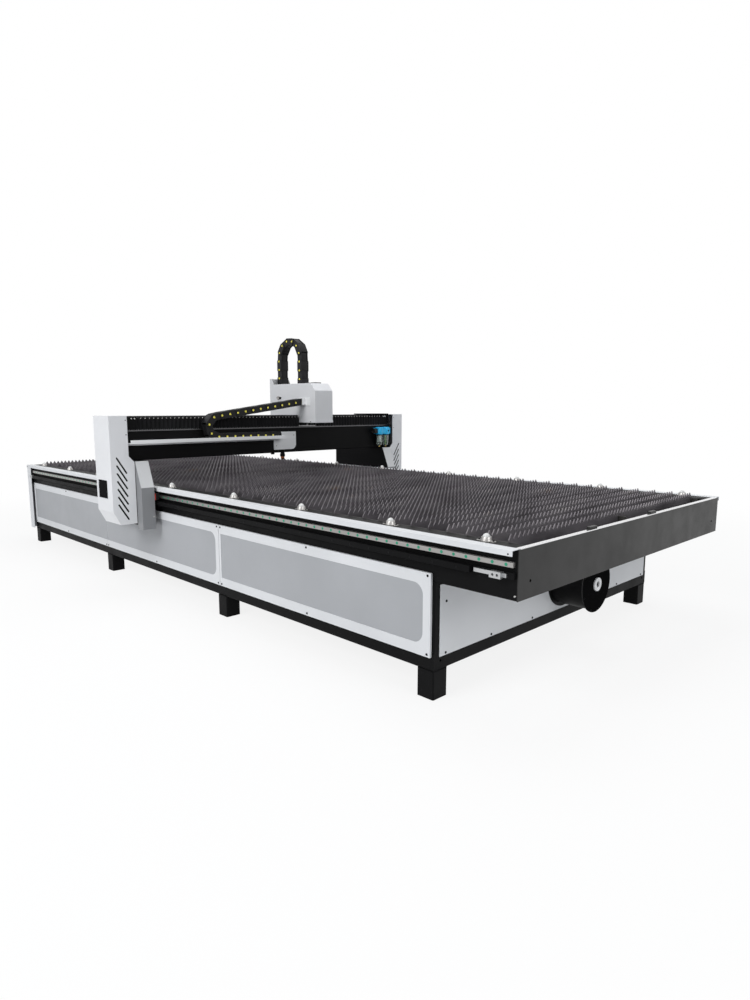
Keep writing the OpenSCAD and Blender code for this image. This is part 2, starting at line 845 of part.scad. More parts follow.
function y_route(s) = s < y_run ? [y_chain_y0 - s, y_chain_z]
  : s < y_run + y_arc ? let (a = (s - y_run) / y_bend * 180 / PI)
    [y_chain_turn - y_bend * sin(a), y_chain_z + y_bend * (1 - cos(a))]
  : y_top + (s - y_run - y_arc) * [cos(y_chain_tilt), sin(y_chain_tilt)];

module y_chain() {
  total = y_run + y_arc + y_climb;
  n = round(total / link_pitch);
  color(black) for (i = [0:n - 1]) {
    a = y_route(i * total / n);
    b = y_route((i + 1) * total / n);
    translate([chain_x, (a[0] + b[0]) / 2, (a[1] + b[1]) / 2])
      rotate([atan2(b[1] - a[1], b[0] - a[0]), 0, 0]) chain_link(norm(b - a), i % 2 == 0);
  }
}

// The lift chain rises from the carriage, loops over and drops to the lift
z_tab = cov_top - 45;
z_rise = z_chain_arc - (z_chain_z1 + link_h / 2);
z_arc = z_bend * PI;
z_drop = z_chain_arc - (z_tab + 4 + link_h / 2);

function z_route(s) = s < z_rise ? [z_chain_x1, z_chain_z1 + link_h / 2 + s]
  : s < z_rise + z_arc ? let (a = (s - z_rise) / z_bend * 180 / PI)
    [z_chain_x1 - z_bend * (1 - cos(a)), z_chain_arc + z_bend * sin(a)]
  : [z_chain_x0, z_chain_arc - (s - z_rise - z_arc)];

module z_chain() {
  total = z_rise + z_arc + z_drop;
  n = round(total / link_pitch);
  color(black) for (i = [0:n - 1]) {
    a = z_route(i * total / n);
    b = z_route((i + 1) * total / n);
    translate([(a[0] + b[0]) / 2, carriage_y, (a[1] + b[1]) / 2]) rotate([0, 0, -90])
      rotate([atan2(b[1] - a[1], b[0] - a[0]), 0, 0]) chain_link(norm(b - a), i % 2 == 0);
  }
}

// Air filter and regulator at the far end of the beam
air_y = side_y + 68;
air_x = gb_x1 + 42;
air_z = gp_z - 73;
air_h = 62;
bowl_off = 38;

module air_unit() {
  color([0.1, 0.5, 0.75]) difference() {
    union() {
      box(gb_x1, gb_x1 + 8, air_y - 50, air_y + 50, air_z + 8, air_z + air_h - 8);
      box(gb_x1 + 8, gb_x1 + 66, air_y - 74, air_y + 74, air_z + 6, air_z + air_h - 6);
      for (s = [-1, 1]) rod_z(air_x, air_y + s * bowl_off, air_z, 31, air_h);
    }
    rod_y(air_x, air_y - 75, air_z + air_h / 2, 8 + bore_play, 21);
    rod_y(air_x, air_y + 54, air_z + air_h / 2, 9, 21);
  }
}

module air_bowls() {
  bowl_h = 98;
  drain_h = 10;
  color([0.8, 0.85, 0.85]) for (s = [-1, 1]) translate([air_x, air_y + s * bowl_off, air_z - bowl_h]) {
    difference() {
      cylinder(h = bowl_h, r = 26);
      translate([0, 0, 8]) cylinder(h = bowl_h, r = 23);
    }
    translate([0, 0, -drain_h]) cylinder(h = drain_h, r = 9);
  }
}

module air_knob() {
  color(black) {
    rod_y(air_x, air_y - 74 - 36, air_z + air_h / 2, 22, 34);
    rod_y(air_x, air_y - 76, air_z + air_h / 2, 8, 20);
  }
}

// Carriage

module carriage_frame() {
  plate_x = lift_x - lift_t;
  color(graphite) difference() {
    union() {
      box(plate_x, lift_x, carriage_y - 80, carriage_y + 80, lift_z, cov_top - 15);
      box(lift_x, gb_x1 + 10, cov_y0 + sheet_t, cov_y1 - sheet_t, base_z, base_z + base_t);
      for (s = [-1, 1]) plate_xz(carriage_y + s * 70 + 5, 10) polygon([[lift_x, base_z + base_t],
        [lift_x + 100, base_z + base_t], [lift_x, base_z + base_t + 140]]);
      box(screw_x - 17, plate_x, carriage_y - 20, carriage_y + 20, lift_z + 5, lift_z + 28);
      box(z_chain_x1 + 21, z_chain_x1 + 25, carriage_y - 37, carriage_y + 37, base_z + base_t, z_chain_z1);
      box(z_chain_x1 - 25, z_chain_x1 + 25, carriage_y - 37, carriage_y + 37, z_chain_z1 - 4, z_chain_z1);
    }
    rod_z(y_pinion_x, carriage_y, base_z - 1, 14, base_t + 2);
    rod_z(screw_x, carriage_y, lift_z + 10, screw_r + bore_play, 20);
  }
}

// Folded cover over the carriage, bevelled in front and open over the lift
module carriage_cover() {
  hole = link_h / 2 + 4;
  front = 52;
  color(white) difference() {
    plate_xz(cov_y1, cover_w) polygon([[cov_x0, cov_z], [cov_x1, cov_z], [cov_x1, cov_top - cover_bevel],
      [cov_x1 - front, cov_top], [cov_x0 + 50, cov_top], [cov_x0 + 25, cov_top + 46],
      [cov_x0, cov_top + 46]]);
    plate_xz(cov_y1 - sheet_t, cover_w - 2 * sheet_t) polygon([[cov_x0 + sheet_t, cov_z - 1],
      [cov_x1 - sheet_t, cov_z - 1], [cov_x1 - sheet_t, cov_top - cover_bevel - 1],
      [cov_x1 - front - 1, cov_top - sheet_t], [z_chain_x0 + hole, cov_top - sheet_t],
      [z_chain_x0 + hole, cov_top + 60], [cov_x0 + sheet_t, cov_top + 60]]);
    box(z_chain_x1 - hole, z_chain_x1 + hole, carriage_y - 40, carriage_y + 40, cov_top - 10, cov_top + 10);
  }
}

module y_blocks() {
  play = 0.5;
  color(steel) for (s = [-1, 1], t = [-1, 1]) translate([gantry_x + s * y_rail_off, carriage_y + t * 45, 0])
    difference() {
      box(-block_h / 2, block_h / 2, -32, 32, gb_top + 4, base_z);
      box(-rail_w / 2 - play, rail_w / 2 + play, -40, 40, gb_top, gb_top + rail_d + play);
    }
}

module y_drive() {
  z0 = base_z + base_t;
  color(graphite) difference() {
    union() {
      box(y_pinion_x - 40, y_pinion_x + 40, carriage_y - 40, carriage_y + 40, z0, z0 + 112);
      rod_z(y_pinion_x, carriage_y, z0 + 112, 36, 18);
    }
    rod_z(y_pinion_x, carriage_y, z0 - 1, 9 + bore_play, 31);
  }
}

module y_pinion() {
  color(steel) {
    translate([y_pinion_x, carriage_y, gb_top + y_gear_up]) gear(y_pinion_r, 22, y_rack_h - y_gear_up);
    rod_z(y_pinion_x, carriage_y, gb_top + y_rack_h, 9, base_z + base_t + 28 - gb_top - y_rack_h);
  }
}

// White bracket that ties the long chain to the cover
module chain_bracket() {
  z0 = cov_z + 128;
  color(white) {
    box(chain_x - 38, chain_x + 92, cov_y0 - 4, cov_y0, z0, z0 + 62);
    box(chain_x + chain_w / 2 + 1, chain_x + chain_w / 2 + 4, cov_y0 - 37, cov_y0 - 4, z0 + 6, z0 + 58);
  }
}

module z_rails() {
  color(steel) for (s = [-1, 1]) translate([lift_x - lift_t, carriage_y + s * z_rail_off, lift_z])
    linear_extrude(400) rail_profile(z_rail_w, 14);
}

module z_motor() {
  color(graphite) difference() {
    box(screw_x - 32, screw_x + 32, carriage_y - 32, carriage_y + 32, zmotor_z, zmotor_z + 80);
    rod_z(screw_x, carriage_y, zmotor_z - 1, screw_r + bore_play, 15);
  }
}

module z_screw() {
  color(steel) rod_z(screw_x, carriage_y, lift_z + 12, screw_r, zmotor_z - lift_z);
}

// Lift

module z_plate() {
  play = 0.4;
  rail_x = lift_x - lift_t;
  arm_x = zp_x - zp_t;
  color(graphite) difference() {
    union() {
      box(arm_x, zp_x, carriage_y - 75, carriage_y + 75, zp_z, zp_z + zp_h);
      for (s = [-1, 1], z = [zp_z + zp_block, zp_z + zp_h - 35])
        box(zp_x, rail_x - 3, carriage_y + s * z_rail_off - 16, carriage_y + s * z_rail_off + 16,
          z - 30, z + 30);
      box(zp_x, screw_x, carriage_y - 16, carriage_y + 16, zp_z + 115, zp_z + 165);
      rod_z(screw_x, carriage_y, zp_z + 115, 16, 50);
      box(arm_x - 6, arm_x, carriage_y - 20, carriage_y + 20, zp_z + zp_h - 60, z_tab + 4);
      box(z_chain_x0 - 25, z_chain_x0 + 25, carriage_y - 37, carriage_y + 37, z_tab, z_tab + 4);
    }
    for (s = [-1, 1]) box(rail_x - 14 - play, rail_x, carriage_y + s * z_rail_off - z_rail_w / 2 - play,
      carriage_y + s * z_rail_off + z_rail_w / 2 + play, zp_z, zp_z + zp_h);
    rod_z(screw_x, carriage_y, zp_z + 110, screw_r + play, 60);
  }
}

// Two clamps hold the torch, and the lower one carries a height sensor beside it
module torch_clamp() {
  sensor_y = carriage_y - 100;
  sensor_r = 15;
  z0 = zp_z + 45;
  color(black) {
    for (z = [z0, z0 + 75]) difference() {
      box(torch_x - 30, zp_x - zp_t, carriage_y - 26, carriage_y + 26, z, z + 30);
      rod_z(torch_x, carriage_y, z - 1, torch_r + bore_play, 32);
    }
    box(torch_x - 14, torch_x + 14, sensor_y + 10, carriage_y - 26, z0 + 8, z0 + 22);
    rod_z(torch_x, sensor_y, torch_tip + 48, sensor_r, z0 + 30 - torch_tip - 48);
  }
}

module torch_body() {
  z0 = torch_tip + 26;
  color(black) {
    rod_z(torch_x, carriage_y, z0, torch_r - 1.5, 22);
    rod_z(torch_x, carriage_y, z0 + 22, torch_r, zp_z + zp_h - 70 - z0 - 22);
  }
}

module torch_nozzle() {
  color([0.72, 0.4, 0.2]) {
    translate([torch_x, carriage_y, torch_tip]) cylinder(h = 10, r1 = 6, r2 = torch_r - 4.5);
    rod_z(torch_x, carriage_y, torch_tip + 10, torch_r - 3.5, 16);
  }
}

// What is built

legs();
lower_rails();
posts();
side_beam_near();
side_beam_far();
bed_beams();
slat_carriers();
slats();
slag_trays();
side_panels();
panel_insets();
end_panel_front();
end_plate_rear();
end_apron();
edge_strips();
x_rails();
x_racks();
travel_stops();
ball_cups();
transfer_balls();
exhaust_duct();
duct_end_plate();
duct_hub();
gantry_beam();
beam_top_plate();
foot_plate_near();
foot_plate_far();
foot_covers();
column_cover_near();
column_cover_far();
service_panels();
x_blocks();
x_drives();
x_pinion_near();
x_pinion_far();
y_rails();
y_rack();
bellows_near();
bellows_far();
bellows_mounts();
chain_tray();
chain_plate();
y_chain();
air_unit();
air_bowls();
air_knob();
carriage_frame();
carriage_cover();
y_blocks();
y_drive();
y_pinion();
chain_bracket();
z_rails();
z_motor();
z_screw();
z_chain();
z_plate();
torch_clamp();
torch_body();
torch_nozzle();
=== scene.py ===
# %% [markdown]
# # A plasma cutting table, dressed for its portrait
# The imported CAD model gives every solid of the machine, in metres, in one frame: X runs along
# the table to the end apron, Y across it, Z up. This lesson keeps the solids that already have
# the right shape, gives them finishes, and models what is too fine or too soft for CAD: chain
# links, bellows, screws, caps, teeth and the air unit's fittings.

# %% Load the frame
import math

import bmesh
import bpy
from mathutils import Matrix, Vector


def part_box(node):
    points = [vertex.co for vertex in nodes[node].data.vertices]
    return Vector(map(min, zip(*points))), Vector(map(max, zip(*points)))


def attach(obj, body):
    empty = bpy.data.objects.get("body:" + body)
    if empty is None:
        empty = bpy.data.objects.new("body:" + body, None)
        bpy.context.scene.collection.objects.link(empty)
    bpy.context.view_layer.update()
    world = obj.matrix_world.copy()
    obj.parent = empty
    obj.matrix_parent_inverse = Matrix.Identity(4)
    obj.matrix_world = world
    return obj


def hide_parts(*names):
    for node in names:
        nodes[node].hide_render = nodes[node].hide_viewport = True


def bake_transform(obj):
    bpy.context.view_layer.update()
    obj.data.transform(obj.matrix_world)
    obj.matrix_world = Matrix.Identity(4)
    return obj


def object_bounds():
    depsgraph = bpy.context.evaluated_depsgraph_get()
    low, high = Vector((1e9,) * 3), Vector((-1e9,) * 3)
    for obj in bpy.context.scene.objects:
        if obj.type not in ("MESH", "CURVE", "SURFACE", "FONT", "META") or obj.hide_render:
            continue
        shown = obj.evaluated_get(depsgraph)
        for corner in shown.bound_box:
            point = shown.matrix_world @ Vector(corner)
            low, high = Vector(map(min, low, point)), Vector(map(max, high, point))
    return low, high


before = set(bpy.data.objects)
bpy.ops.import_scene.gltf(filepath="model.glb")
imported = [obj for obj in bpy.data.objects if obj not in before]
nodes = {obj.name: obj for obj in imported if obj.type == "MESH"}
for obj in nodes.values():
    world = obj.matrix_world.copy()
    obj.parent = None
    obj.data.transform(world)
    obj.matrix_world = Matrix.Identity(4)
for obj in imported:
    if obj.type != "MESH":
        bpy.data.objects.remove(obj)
cad_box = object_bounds()
scene = bpy.context.scene
MM = 0.001


def mm(*sizes):
    """Sizes in millimetres, given back in metres."""
    return tuple(size * MM for size in sizes)


print("frame", len(nodes), "nodes, box", [round(c, 3) for c in (*cad_box[0], *cad_box[1])])

# %% [markdown]
# ## Camera
# The photograph was taken from the front corner of the apron end, at about chest height, with a
# wide lens tipped slightly down. A camera matrix is built from the look direction, so that there
# is no roll, and the small lens shift puts the picture's middle where the photograph has it.

# %% Camera
EYE = Vector((3.870, -3.015, 1.193))
YAW = math.radians(44.35)
PITCH = math.radians(8.56)
FOCAL_PX = 658.4
FRAME_PX = 1000
SHIFT_X, SHIFT_Y = 0.0064, 0.0091

look = Vector((-math.cos(YAW) * math.cos(PITCH), math.sin(YAW) * math.cos(PITCH), -math.sin(PITCH)))
right = Vector((math.sin(YAW), math.cos(YAW), 0))
up = right.cross(look)
camera_data = bpy.data.cameras.new("camera")
camera_data.sensor_width = 36
camera_data.lens = FOCAL_PX / FRAME_PX * camera_data.sensor_width
camera_data.shift_x = SHIFT_X
camera_data.shift_y = SHIFT_Y
camera_data.clip_end = 200
camera = bpy.data.objects.new("camera", camera_data)
camera.matrix_world = Matrix((right, up, -look)).transposed().to_4x4()
camera.location = EYE
scene.collection.objects.link(camera)
scene.camera = camera
print("camera lens", round(camera_data.lens, 2), "mm")

# %% [markdown]
# ## Studio
# The photograph is a cut-out on white, lit from the operator's side: faces that look along -Y are
# bright and the end faces are a step darker. A large soft lamp stands on that side, a weaker one
# at the apron end, and a third hangs above.

# %% Lamps
scene.view_settings.view_transform = "Standard"


def add_lamp(name, place, target, size, power):
    lamp = bpy.data.lights.new(name, "AREA")
    lamp.shape = "DISK"
    lamp.size = size
    lamp.energy = power
    holder = bpy.data.objects.new(name, lamp)
    holder.location = place
    holder.rotation_euler = (Vector(target) - Vector(place)).to_track_quat("-Z", "Y").to_euler()
    scene.collection.objects.link(holder)


add_lamp("key", (1.0, -6.5, 4.6), (0.2, 0, 0.7), 4.0, 250)
add_lamp("end_fill", (7.0, -1.0, 3.2), (1.0, 0, 0.7), 3.0, 80)
add_lamp("top", (0, 0.5, 6.5), (0, 0, 0.8), 5.0, 170)
print("lamps", len(bpy.data.lights))

# %% [markdown]
# A world fills the shadows with weak, cool light. Where the camera, a gloss or a clear piece sees
# it, it is white. One helper makes a node with all that feeds it, so a tree reads like its signal.

# %% World
WHITE = (1, 1, 1, 1)


def add_node(tree, kind, inputs, **settings):
    """A shader node; each input is a value or the output of another node."""
    node = tree.nodes.new("ShaderNode" + kind)
    for name, value in settings.items():
        setattr(node, name, value)
    for socket, value in inputs.items():
        if isinstance(value, bpy.types.NodeSocket):
            tree.links.new(value, node.inputs[socket])
        else:
            node.inputs[socket].default_value = value
    return node


def seen_rays(tree):
    """One where a ray comes from the camera, a gloss or a clear piece, else zero."""
    path = add_node(tree, "LightPath", {}).outputs
    seen = path["Is Camera Ray"]
    for ray in ("Is Glossy Ray", "Is Transmission Ray"):
        seen = add_node(tree, "Math", {0: seen, 1: path[ray]}, operation="MAXIMUM").outputs[0]
    return seen


world = bpy.data.worlds.new("studio")
scene.world = world
world.use_nodes = True
sky = world.node_tree
sky_light = sky.nodes["Background"]
sky_light.inputs["Color"].default_value = (0.9, 0.95, 1.0, 1)
sky_light.inputs["Strength"].default_value = 0.36
white_sky = add_node(sky, "Background", {"Color": WHITE, "Strength": 1.0})
sky_mix = add_node(sky, "MixShader",
                   {0: seen_rays(sky), 1: sky_light.outputs[0], 2: white_sky.outputs[0]})
sky.links.new(sky_mix.outputs[0], sky.nodes["World Output"].inputs["Surface"])
print("world nodes", len(sky.nodes))

# %% [markdown]
# The floor is pale paint that takes the machine's shadow. It glows by a share that grows with the
# distance from the middle, so that it melts into the white behind it without an edge.

# %% Floor
FLOOR_REACH, FLOOR_DROP = 40, 2 * MM
coats = {}


def new_finish(name, colour, rough, metal=0.0, gloss=0.5):
    """Makes a material; gives its node tree and the inputs of its Principled shader."""
    coats[name] = bpy.data.materials.new(name)
    coats[name].use_nodes = True
    tree = coats[name].node_tree
    skin = tree.nodes["Principled BSDF"].inputs
    skin["Base Color"].default_value = (*colour, 1)
    skin["Roughness"].default_value = rough
    skin["Metallic"].default_value = metal
    skin["Specular IOR Level"].default_value = gloss
    return tree, skin


bm = bmesh.new()
bmesh.ops.create_grid(bm, x_segments=1, y_segments=1, size=FLOOR_REACH)
floor_mesh = bpy.data.meshes.new("floor")
bm.to_mesh(floor_mesh)
bm.free()
floor = bpy.data.objects.new("floor", floor_mesh)
floor.location.z = -FLOOR_DROP
scene.collection.objects.link(floor)
tree = new_finish("floor_paint", (0.9, 0.9, 0.9), 0.9)[0]
floor_place = add_node(tree, "TexCoord", {}).outputs["Object"]
floor_away = add_node(tree, "VectorMath", {0: floor_place}, operation="LENGTH").outputs["Value"]
floor_fade = add_node(tree, "MapRange", {"Value": floor_away, "From Min": 2.5, "From Max": 6.5,
                                         "To Min": 0.86, "To Max": 1.0},
                      interpolation_type="SMOOTHSTEP").outputs["Result"]
floor_share = add_node(tree, "Math", {0: seen_rays(tree), 1: floor_fade}, operation="MULTIPLY")
floor_glow = add_node(tree, "Emission", {"Color": WHITE, "Strength": 1.0})
floor_mix = add_node(tree, "MixShader", {0: floor_share.outputs[0],
                                         1: tree.nodes["Principled BSDF"].outputs[0],
                                         2: floor_glow.outputs[0]})
tree.links.new(floor_mix.outputs[0], tree.nodes["Material Output"].inputs["Surface"])
floor_mesh.materials.append(coats["floor_paint"])
print("floor", 2 * FLOOR_REACH, "m wide")

# %% [markdown]
# ## Finishes
# Every finish starts from one Principled shader and reads Object coordinates, which are the
# machine's own metres, so a grain has its true size on every piece. Noise at two scales does the
# work: a broad one shifts the tone, as uneven coating and handling do, and a fine one drives the
# bump, as orange peel in powder coat or the lay of grinding on steel.

# %% Tools for finishes


def grain(tree, scale, detail=3.0, stretch=(1, 1, 1)):
    """Noise on Object coordinates; scale is in cycles per metre."""
    place = add_node(tree, "TexCoord", {}).outputs["Object"]
    mapping = add_node(tree, "Mapping", {"Vector": place, "Scale": stretch}).outputs["Vector"]
    noise = add_node(tree, "TexNoise", {"Vector": mapping, "Scale": scale, "Detail": detail})
    return noise.outputs["Fac"]


def tone(tree, factor, stops):
    """A colour ramp: stops are (position, colour)."""
    ramp = add_node(tree, "ValToRGB", {"Fac": factor})
    while len(ramp.color_ramp.elements) < len(stops):
        ramp.color_ramp.elements.new(0.5)
    for element, (position, colour) in zip(ramp.color_ramp.elements, stops):
        element.position = position
        element.color = (*colour, 1)
    return ramp.outputs["Color"]


def spread(tree, factor, low, high):
    """Maps a noise to a range of values, as for roughness."""
    fit = add_node(tree, "MapRange", {"Value": factor, "From Min": 0.3, "From Max": 0.7,
                                      "To Min": low, "To Max": high})
    return fit.outputs["Result"]


def rough_up(tree, skin, height, strength, depth):
    """Bump of a depth in metres."""
    bump = add_node(tree, "Bump", {"Height": height, "Strength": strength, "Distance": depth})
    tree.links.new(bump.outputs["Normal"], skin["Normal"])


def shade(colour, share):
    return tuple(c * share for c in colour)


# %% [markdown]
# Three families cover most of the machine. Each sets the tone, the roughness and the bump of its
# surface from one or two grains.

# %% Families of finish


def powder_coat(name, colour, rough, wear=0.93, peel=0.1, gloss=0.4):
    """Sprayed and baked paint: even, with orange peel and a little handling."""
    tree, skin = new_finish(name, colour, rough, gloss=gloss)
    stops = [(0.35, shade(colour, wear)), (0.62, colour)]
    tree.links.new(tone(tree, grain(tree, 2.3, 4), stops), skin["Base Color"])
    tree.links.new(spread(tree, grain(tree, 9), rough - 0.06, rough + 0.07), skin["Roughness"])
    rough_up(tree, skin, grain(tree, 420, 2), peel, 0.6 * MM)


def ground_metal(name, colour, rough, lay, wear=0.8):
    """Bright metal with the fine lines that grinding or drawing leaves along it."""
    tree, skin = new_finish(name, colour, rough, 1.0)
    lines = grain(tree, 60, 4, lay)
    stops = [(0.3, shade(colour, wear)), (0.7, colour)]
    tree.links.new(tone(tree, lines, stops), skin["Base Color"])
    tree.links.new(spread(tree, lines, rough - 0.06, rough + 0.1), skin["Roughness"])
    rough_up(tree, skin, lines, 0.06, 0.5 * MM)


def moulded(name, colour, rough, speck=0.9, gloss=0.4):
    """Moulded plastic or rubber with a fine spark-eroded texture."""
    tree, skin = new_finish(name, colour, rough, gloss=gloss)
    fine = grain(tree, 800, 2)
    stops = [(0.3, shade(colour, speck)), (0.7, colour)]
    tree.links.new(tone(tree, grain(tree, 30), stops), skin["Base Color"])
    tree.links.new(spread(tree, fine, rough - 0.05, rough + 0.08), skin["Roughness"])
    rough_up(tree, skin, fine, 0.08, 0.4 * MM)


# %% [markdown]
# A finish is then one line: its colour, its roughness and, for metal, the way that the grinding
# lines run.

# %% Plain finishes
ALONG_X, ALONG_Y, ALONG_Z, NO_LAY = (0.03, 6, 6), (6, 0.03, 6), (6, 6, 0.03), (1, 1, 1)

PAINTS = [
    ("panel_white", (0.74, 0.75, 0.77), 0.4),
    ("panel_grey", (0.40, 0.41, 0.43), 0.45),
    ("cover_white", (0.78, 0.785, 0.805), 0.38),
    ("frame_black", (0.006, 0.006, 0.0064), 0.48, 0.7, 0.14, 0.06),
    ("graphite_coat", (0.026, 0.0255, 0.025), 0.4, 0.85, 0.04, 0.2),
    ("tray_white", (0.9, 0.905, 0.915), 0.4),
    ("tray_grey", (0.06, 0.057, 0.054), 0.6, 0.6, 0.2, 0.2),
    ("motor_black", (0.012, 0.012, 0.013), 0.5, 0.8, 0.2, 0.15),
    ("window_black", (0.018, 0.018, 0.0185), 0.6, 0.7, 0.14, 0),
]
METALS = [
    ("rail_steel", (0.42, 0.41, 0.40), 0.34, ALONG_X),
    # Painted reflection: a bright metal for the apron's strip, standing in for the white that the glossy
    # fold reflects.
    ("edge_bright", (0.86, 0.86, 0.87), 0.24, ALONG_Y, 0.9),
    ("cross_steel", (0.5, 0.5, 0.51), 0.3, ALONG_Y),
    ("lift_steel", (0.5, 0.5, 0.51), 0.3, ALONG_Z),
    ("plate_aluminium", (0.55, 0.56, 0.57), 0.4, ALONG_Y),
    ("dull_plate", (0.14, 0.14, 0.145), 0.42, ALONG_Y),
    ("black_aluminium", (0.012, 0.012, 0.013), 0.42, ALONG_X),
    ("screw_zinc", (0.56, 0.56, 0.55), 0.3, NO_LAY),
    ("screw_black", (0.012, 0.012, 0.013), 0.35, NO_LAY),
    ("torch_copper", (0.62, 0.24, 0.12), 0.3, ALONG_Z),
    ("drain_brass", (0.62, 0.46, 0.16), 0.3, ALONG_Z),
]
PLASTICS = [
    ("chain_black", (0.01, 0.01, 0.011), 0.45, 0.9, 0.2),
    ("knob_black", (0.012, 0.012, 0.012), 0.45, 0.9, 0.2),
    ("chain_yellow", (1.0, 0.88, 0.12), 0.4, 0.96),
    ("cap_green", (0.02, 0.3, 0.17), 0.35),
    ("seal_red", (0.4, 0.03, 0.02), 0.4),
    ("ball_nylon", (0.74, 0.74, 0.73), 0.25, 0.96),
    ("air_blue", (0.02, 0.5, 0.9), 0.28, 0.92),
    ("filter_white", (0.62, 0.64, 0.66), 0.6),
    ("tube_green", (0.3, 0.5, 0.2), 0.4),
    ("torch_black", (0.01, 0.01, 0.011), 0.35, 0.9, 0.25),
]
for make, rows in ((powder_coat, PAINTS), (ground_metal, METALS), (moulded, PLASTICS)):
    for row in rows:
        make(*row)
print("plain finishes", len(PAINTS) + len(METALS) + len(PLASTICS))

# %% [markdown]
# The slats are hot-rolled strip: blue-grey mill scale, browner where it has begun to rust, with
# scuffs that run along the strip. The bellows are coated cloth, whose weave is the product of two
# waves and shows as bump, and the filter bowls are clear plastic.

# %% Steel, cloth and clear plastic
CLOTH_THREADS = 380
SCALE_TONES = [(0.30, (0.085, 0.077, 0.084)), (0.52, (0.165, 0.152, 0.165)),
               (0.66, (0.21, 0.195, 0.205)), (0.80, (0.19, 0.125, 0.09))]
CLOTH_TONES = [(0.3, (0.006, 0.006, 0.0065)), (0.7, (0.012, 0.012, 0.013))]

tree, skin = new_finish("slat_steel", (0.12, 0.11, 0.115), 0.5, 0.55)
tree.links.new(tone(tree, grain(tree, 7, 5, (1, 0.35, 1)), SCALE_TONES), skin["Base Color"])
slat_scuff = grain(tree, 40, 4, (1, 0.08, 1))
tree.links.new(spread(tree, slat_scuff, 0.4, 0.62), skin["Roughness"])
rough_up(tree, skin, slat_scuff, 0.12, 1 * MM)

tree, skin = new_finish("bellows_cloth", (0.008, 0.008, 0.0085), 0.6, gloss=0.08)
cloth_place = add_node(tree, "TexCoord", {}).outputs["Object"]
threads = [add_node(tree, "TexWave", {"Vector": cloth_place, "Scale": CLOTH_THREADS},
                    bands_direction=way).outputs["Fac"] for way in ("X", "Y")]
weave = add_node(tree, "Math", {0: threads[0], 1: threads[1]}, operation="MULTIPLY")
tree.links.new(tone(tree, grain(tree, 12), CLOTH_TONES), skin["Base Color"])
rough_up(tree, skin, weave.outputs[0], 0.15, 0.4 * MM)

tree, skin = new_finish("bowl_clear", (0.86, 0.93, 0.9), 0.08)
skin["Transmission Weight"].default_value = 0.97
skin["IOR"].default_value = 1.5
rough_up(tree, skin, grain(tree, 60, 2), 0.05, 0.5 * MM)
print("cloth threads", CLOTH_THREADS, "per metre")

# %% [markdown]
# Two coats have light and shade painted in by where a face looks: the wedges over the gantry's feet are
# painted paler on their slopes, as light from above shows them, and the duct's end plate is painted deep
# black on its face that looks along +X, which leaves its rim paler. The surface's own normal drives the
# change, so it is the same for every camera.

# %% Painted light by facing


def paint_light_by_facing(finish, axis, low, high, colour):
    """Paints light and shade into a finish: another colour where the surface faces along an axis."""
    tree = coats[finish].node_tree
    base = tree.nodes["Principled BSDF"].inputs["Base Color"]
    normal = add_node(tree, "NewGeometry", {}).outputs["Normal"]
    parts = add_node(tree, "SeparateXYZ", {0: normal}).outputs
    share = add_node(tree, "MapRange", {"Value": parts[axis], "From Min": low, "From Max": high})
    mix = add_node(tree, "Mix", {"Factor": share.outputs["Result"], "A": base.links[0].from_socket,
                                 "B": (*colour, 1)}, data_type="RGBA")
    tree.links.new(mix.outputs["Result"], base)


powder_coat("wedge_grey", (0.25, 0.255, 0.265), 0.42)
# Painted light: the wedge's slopes, which face up, are painted paler than its sides.
paint_light_by_facing("wedge_grey", "Z", 0.05, 0.2, (0.6, 0.605, 0.615))
powder_coat("duct_black", (0.05, 0.05, 0.05), 0.5, 0.8, 0.14, 0)
# Painted shade: the duct plate's face that looks along +X is painted darker than its rim.
paint_light_by_facing("duct_black", "X", 0.5, 0.9, (0.006, 0.006, 0.0062))
print("finishes", len(coats) - 1)

# %% [markdown]
# ## Dressing the solids
# Sheet metal and machined plate never have a razor edge: a fold has a radius and a plate is
# broken with a file, and that small round is what catches the light. The CAD mesh isn't changed;
# modifiers merge its loose triangles, dissolve the flat faces and bevel what is left.

# %% Dress the solids
FOLD_EDGE, PLATE_EDGE, SHEET_EDGE, FINE_EDGE = mm(2, 1.5, 1.2, 1)


def dress(finish, edge, names):
    """Gives CAD nodes a finish and, where edge isn't zero, a rounded edge of that width."""
    for name in names.split():
        solid = nodes[name]
        solid.data.materials.clear()
        solid.data.materials.append(coats[finish])
        if edge:
            solid.modifiers.new("weld", "WELD").merge_threshold = 1e-5
            flat = solid.modifiers.new("flat_faces", "DECIMATE")
            flat.decimate_type = "DISSOLVE"
            flat.angle_limit = math.radians(0.4)
            soft = solid.modifiers.new("soft_edge", "BEVEL")
            soft.width = edge
            soft.segments = 2
            soft.limit_method = "ANGLE"
            soft.angle_limit = math.radians(40)
            soft.harden_normals = True


dress("frame_black", 0, "legs lower_rails posts side_beam_near side_beam_far bed_beams exhaust_duct "
      "gantry_beam")
dress("frame_black", SHEET_EDGE, "x_racks")
dress("duct_black", SHEET_EDGE, "duct_end_plate")
dress("panel_white", SHEET_EDGE, "side_panels end_panel_front end_plate_rear edge_strips")
dress("panel_grey", 0, "panel_insets")
dress("cover_white", FOLD_EDGE, "column_cover_near column_cover_far carriage_cover")
dress("tray_white", FINE_EDGE, "chain_tray chain_plate chain_bracket duct_hub")
dress("wedge_grey", FOLD_EDGE, "foot_covers")
dress("graphite_coat", PLATE_EDGE, "end_apron")
dress("tray_grey", 0, "slag_trays slat_carriers")
dress("slat_steel", 0, "slats")
dress("rail_steel", 0, "x_rails x_pinion_near x_pinion_far y_pinion")
dress("rail_steel", FINE_EDGE, "x_blocks ball_cups")
dress("cross_steel", 0, "y_rails y_rack")
dress("lift_steel", 0, "z_rails z_screw")
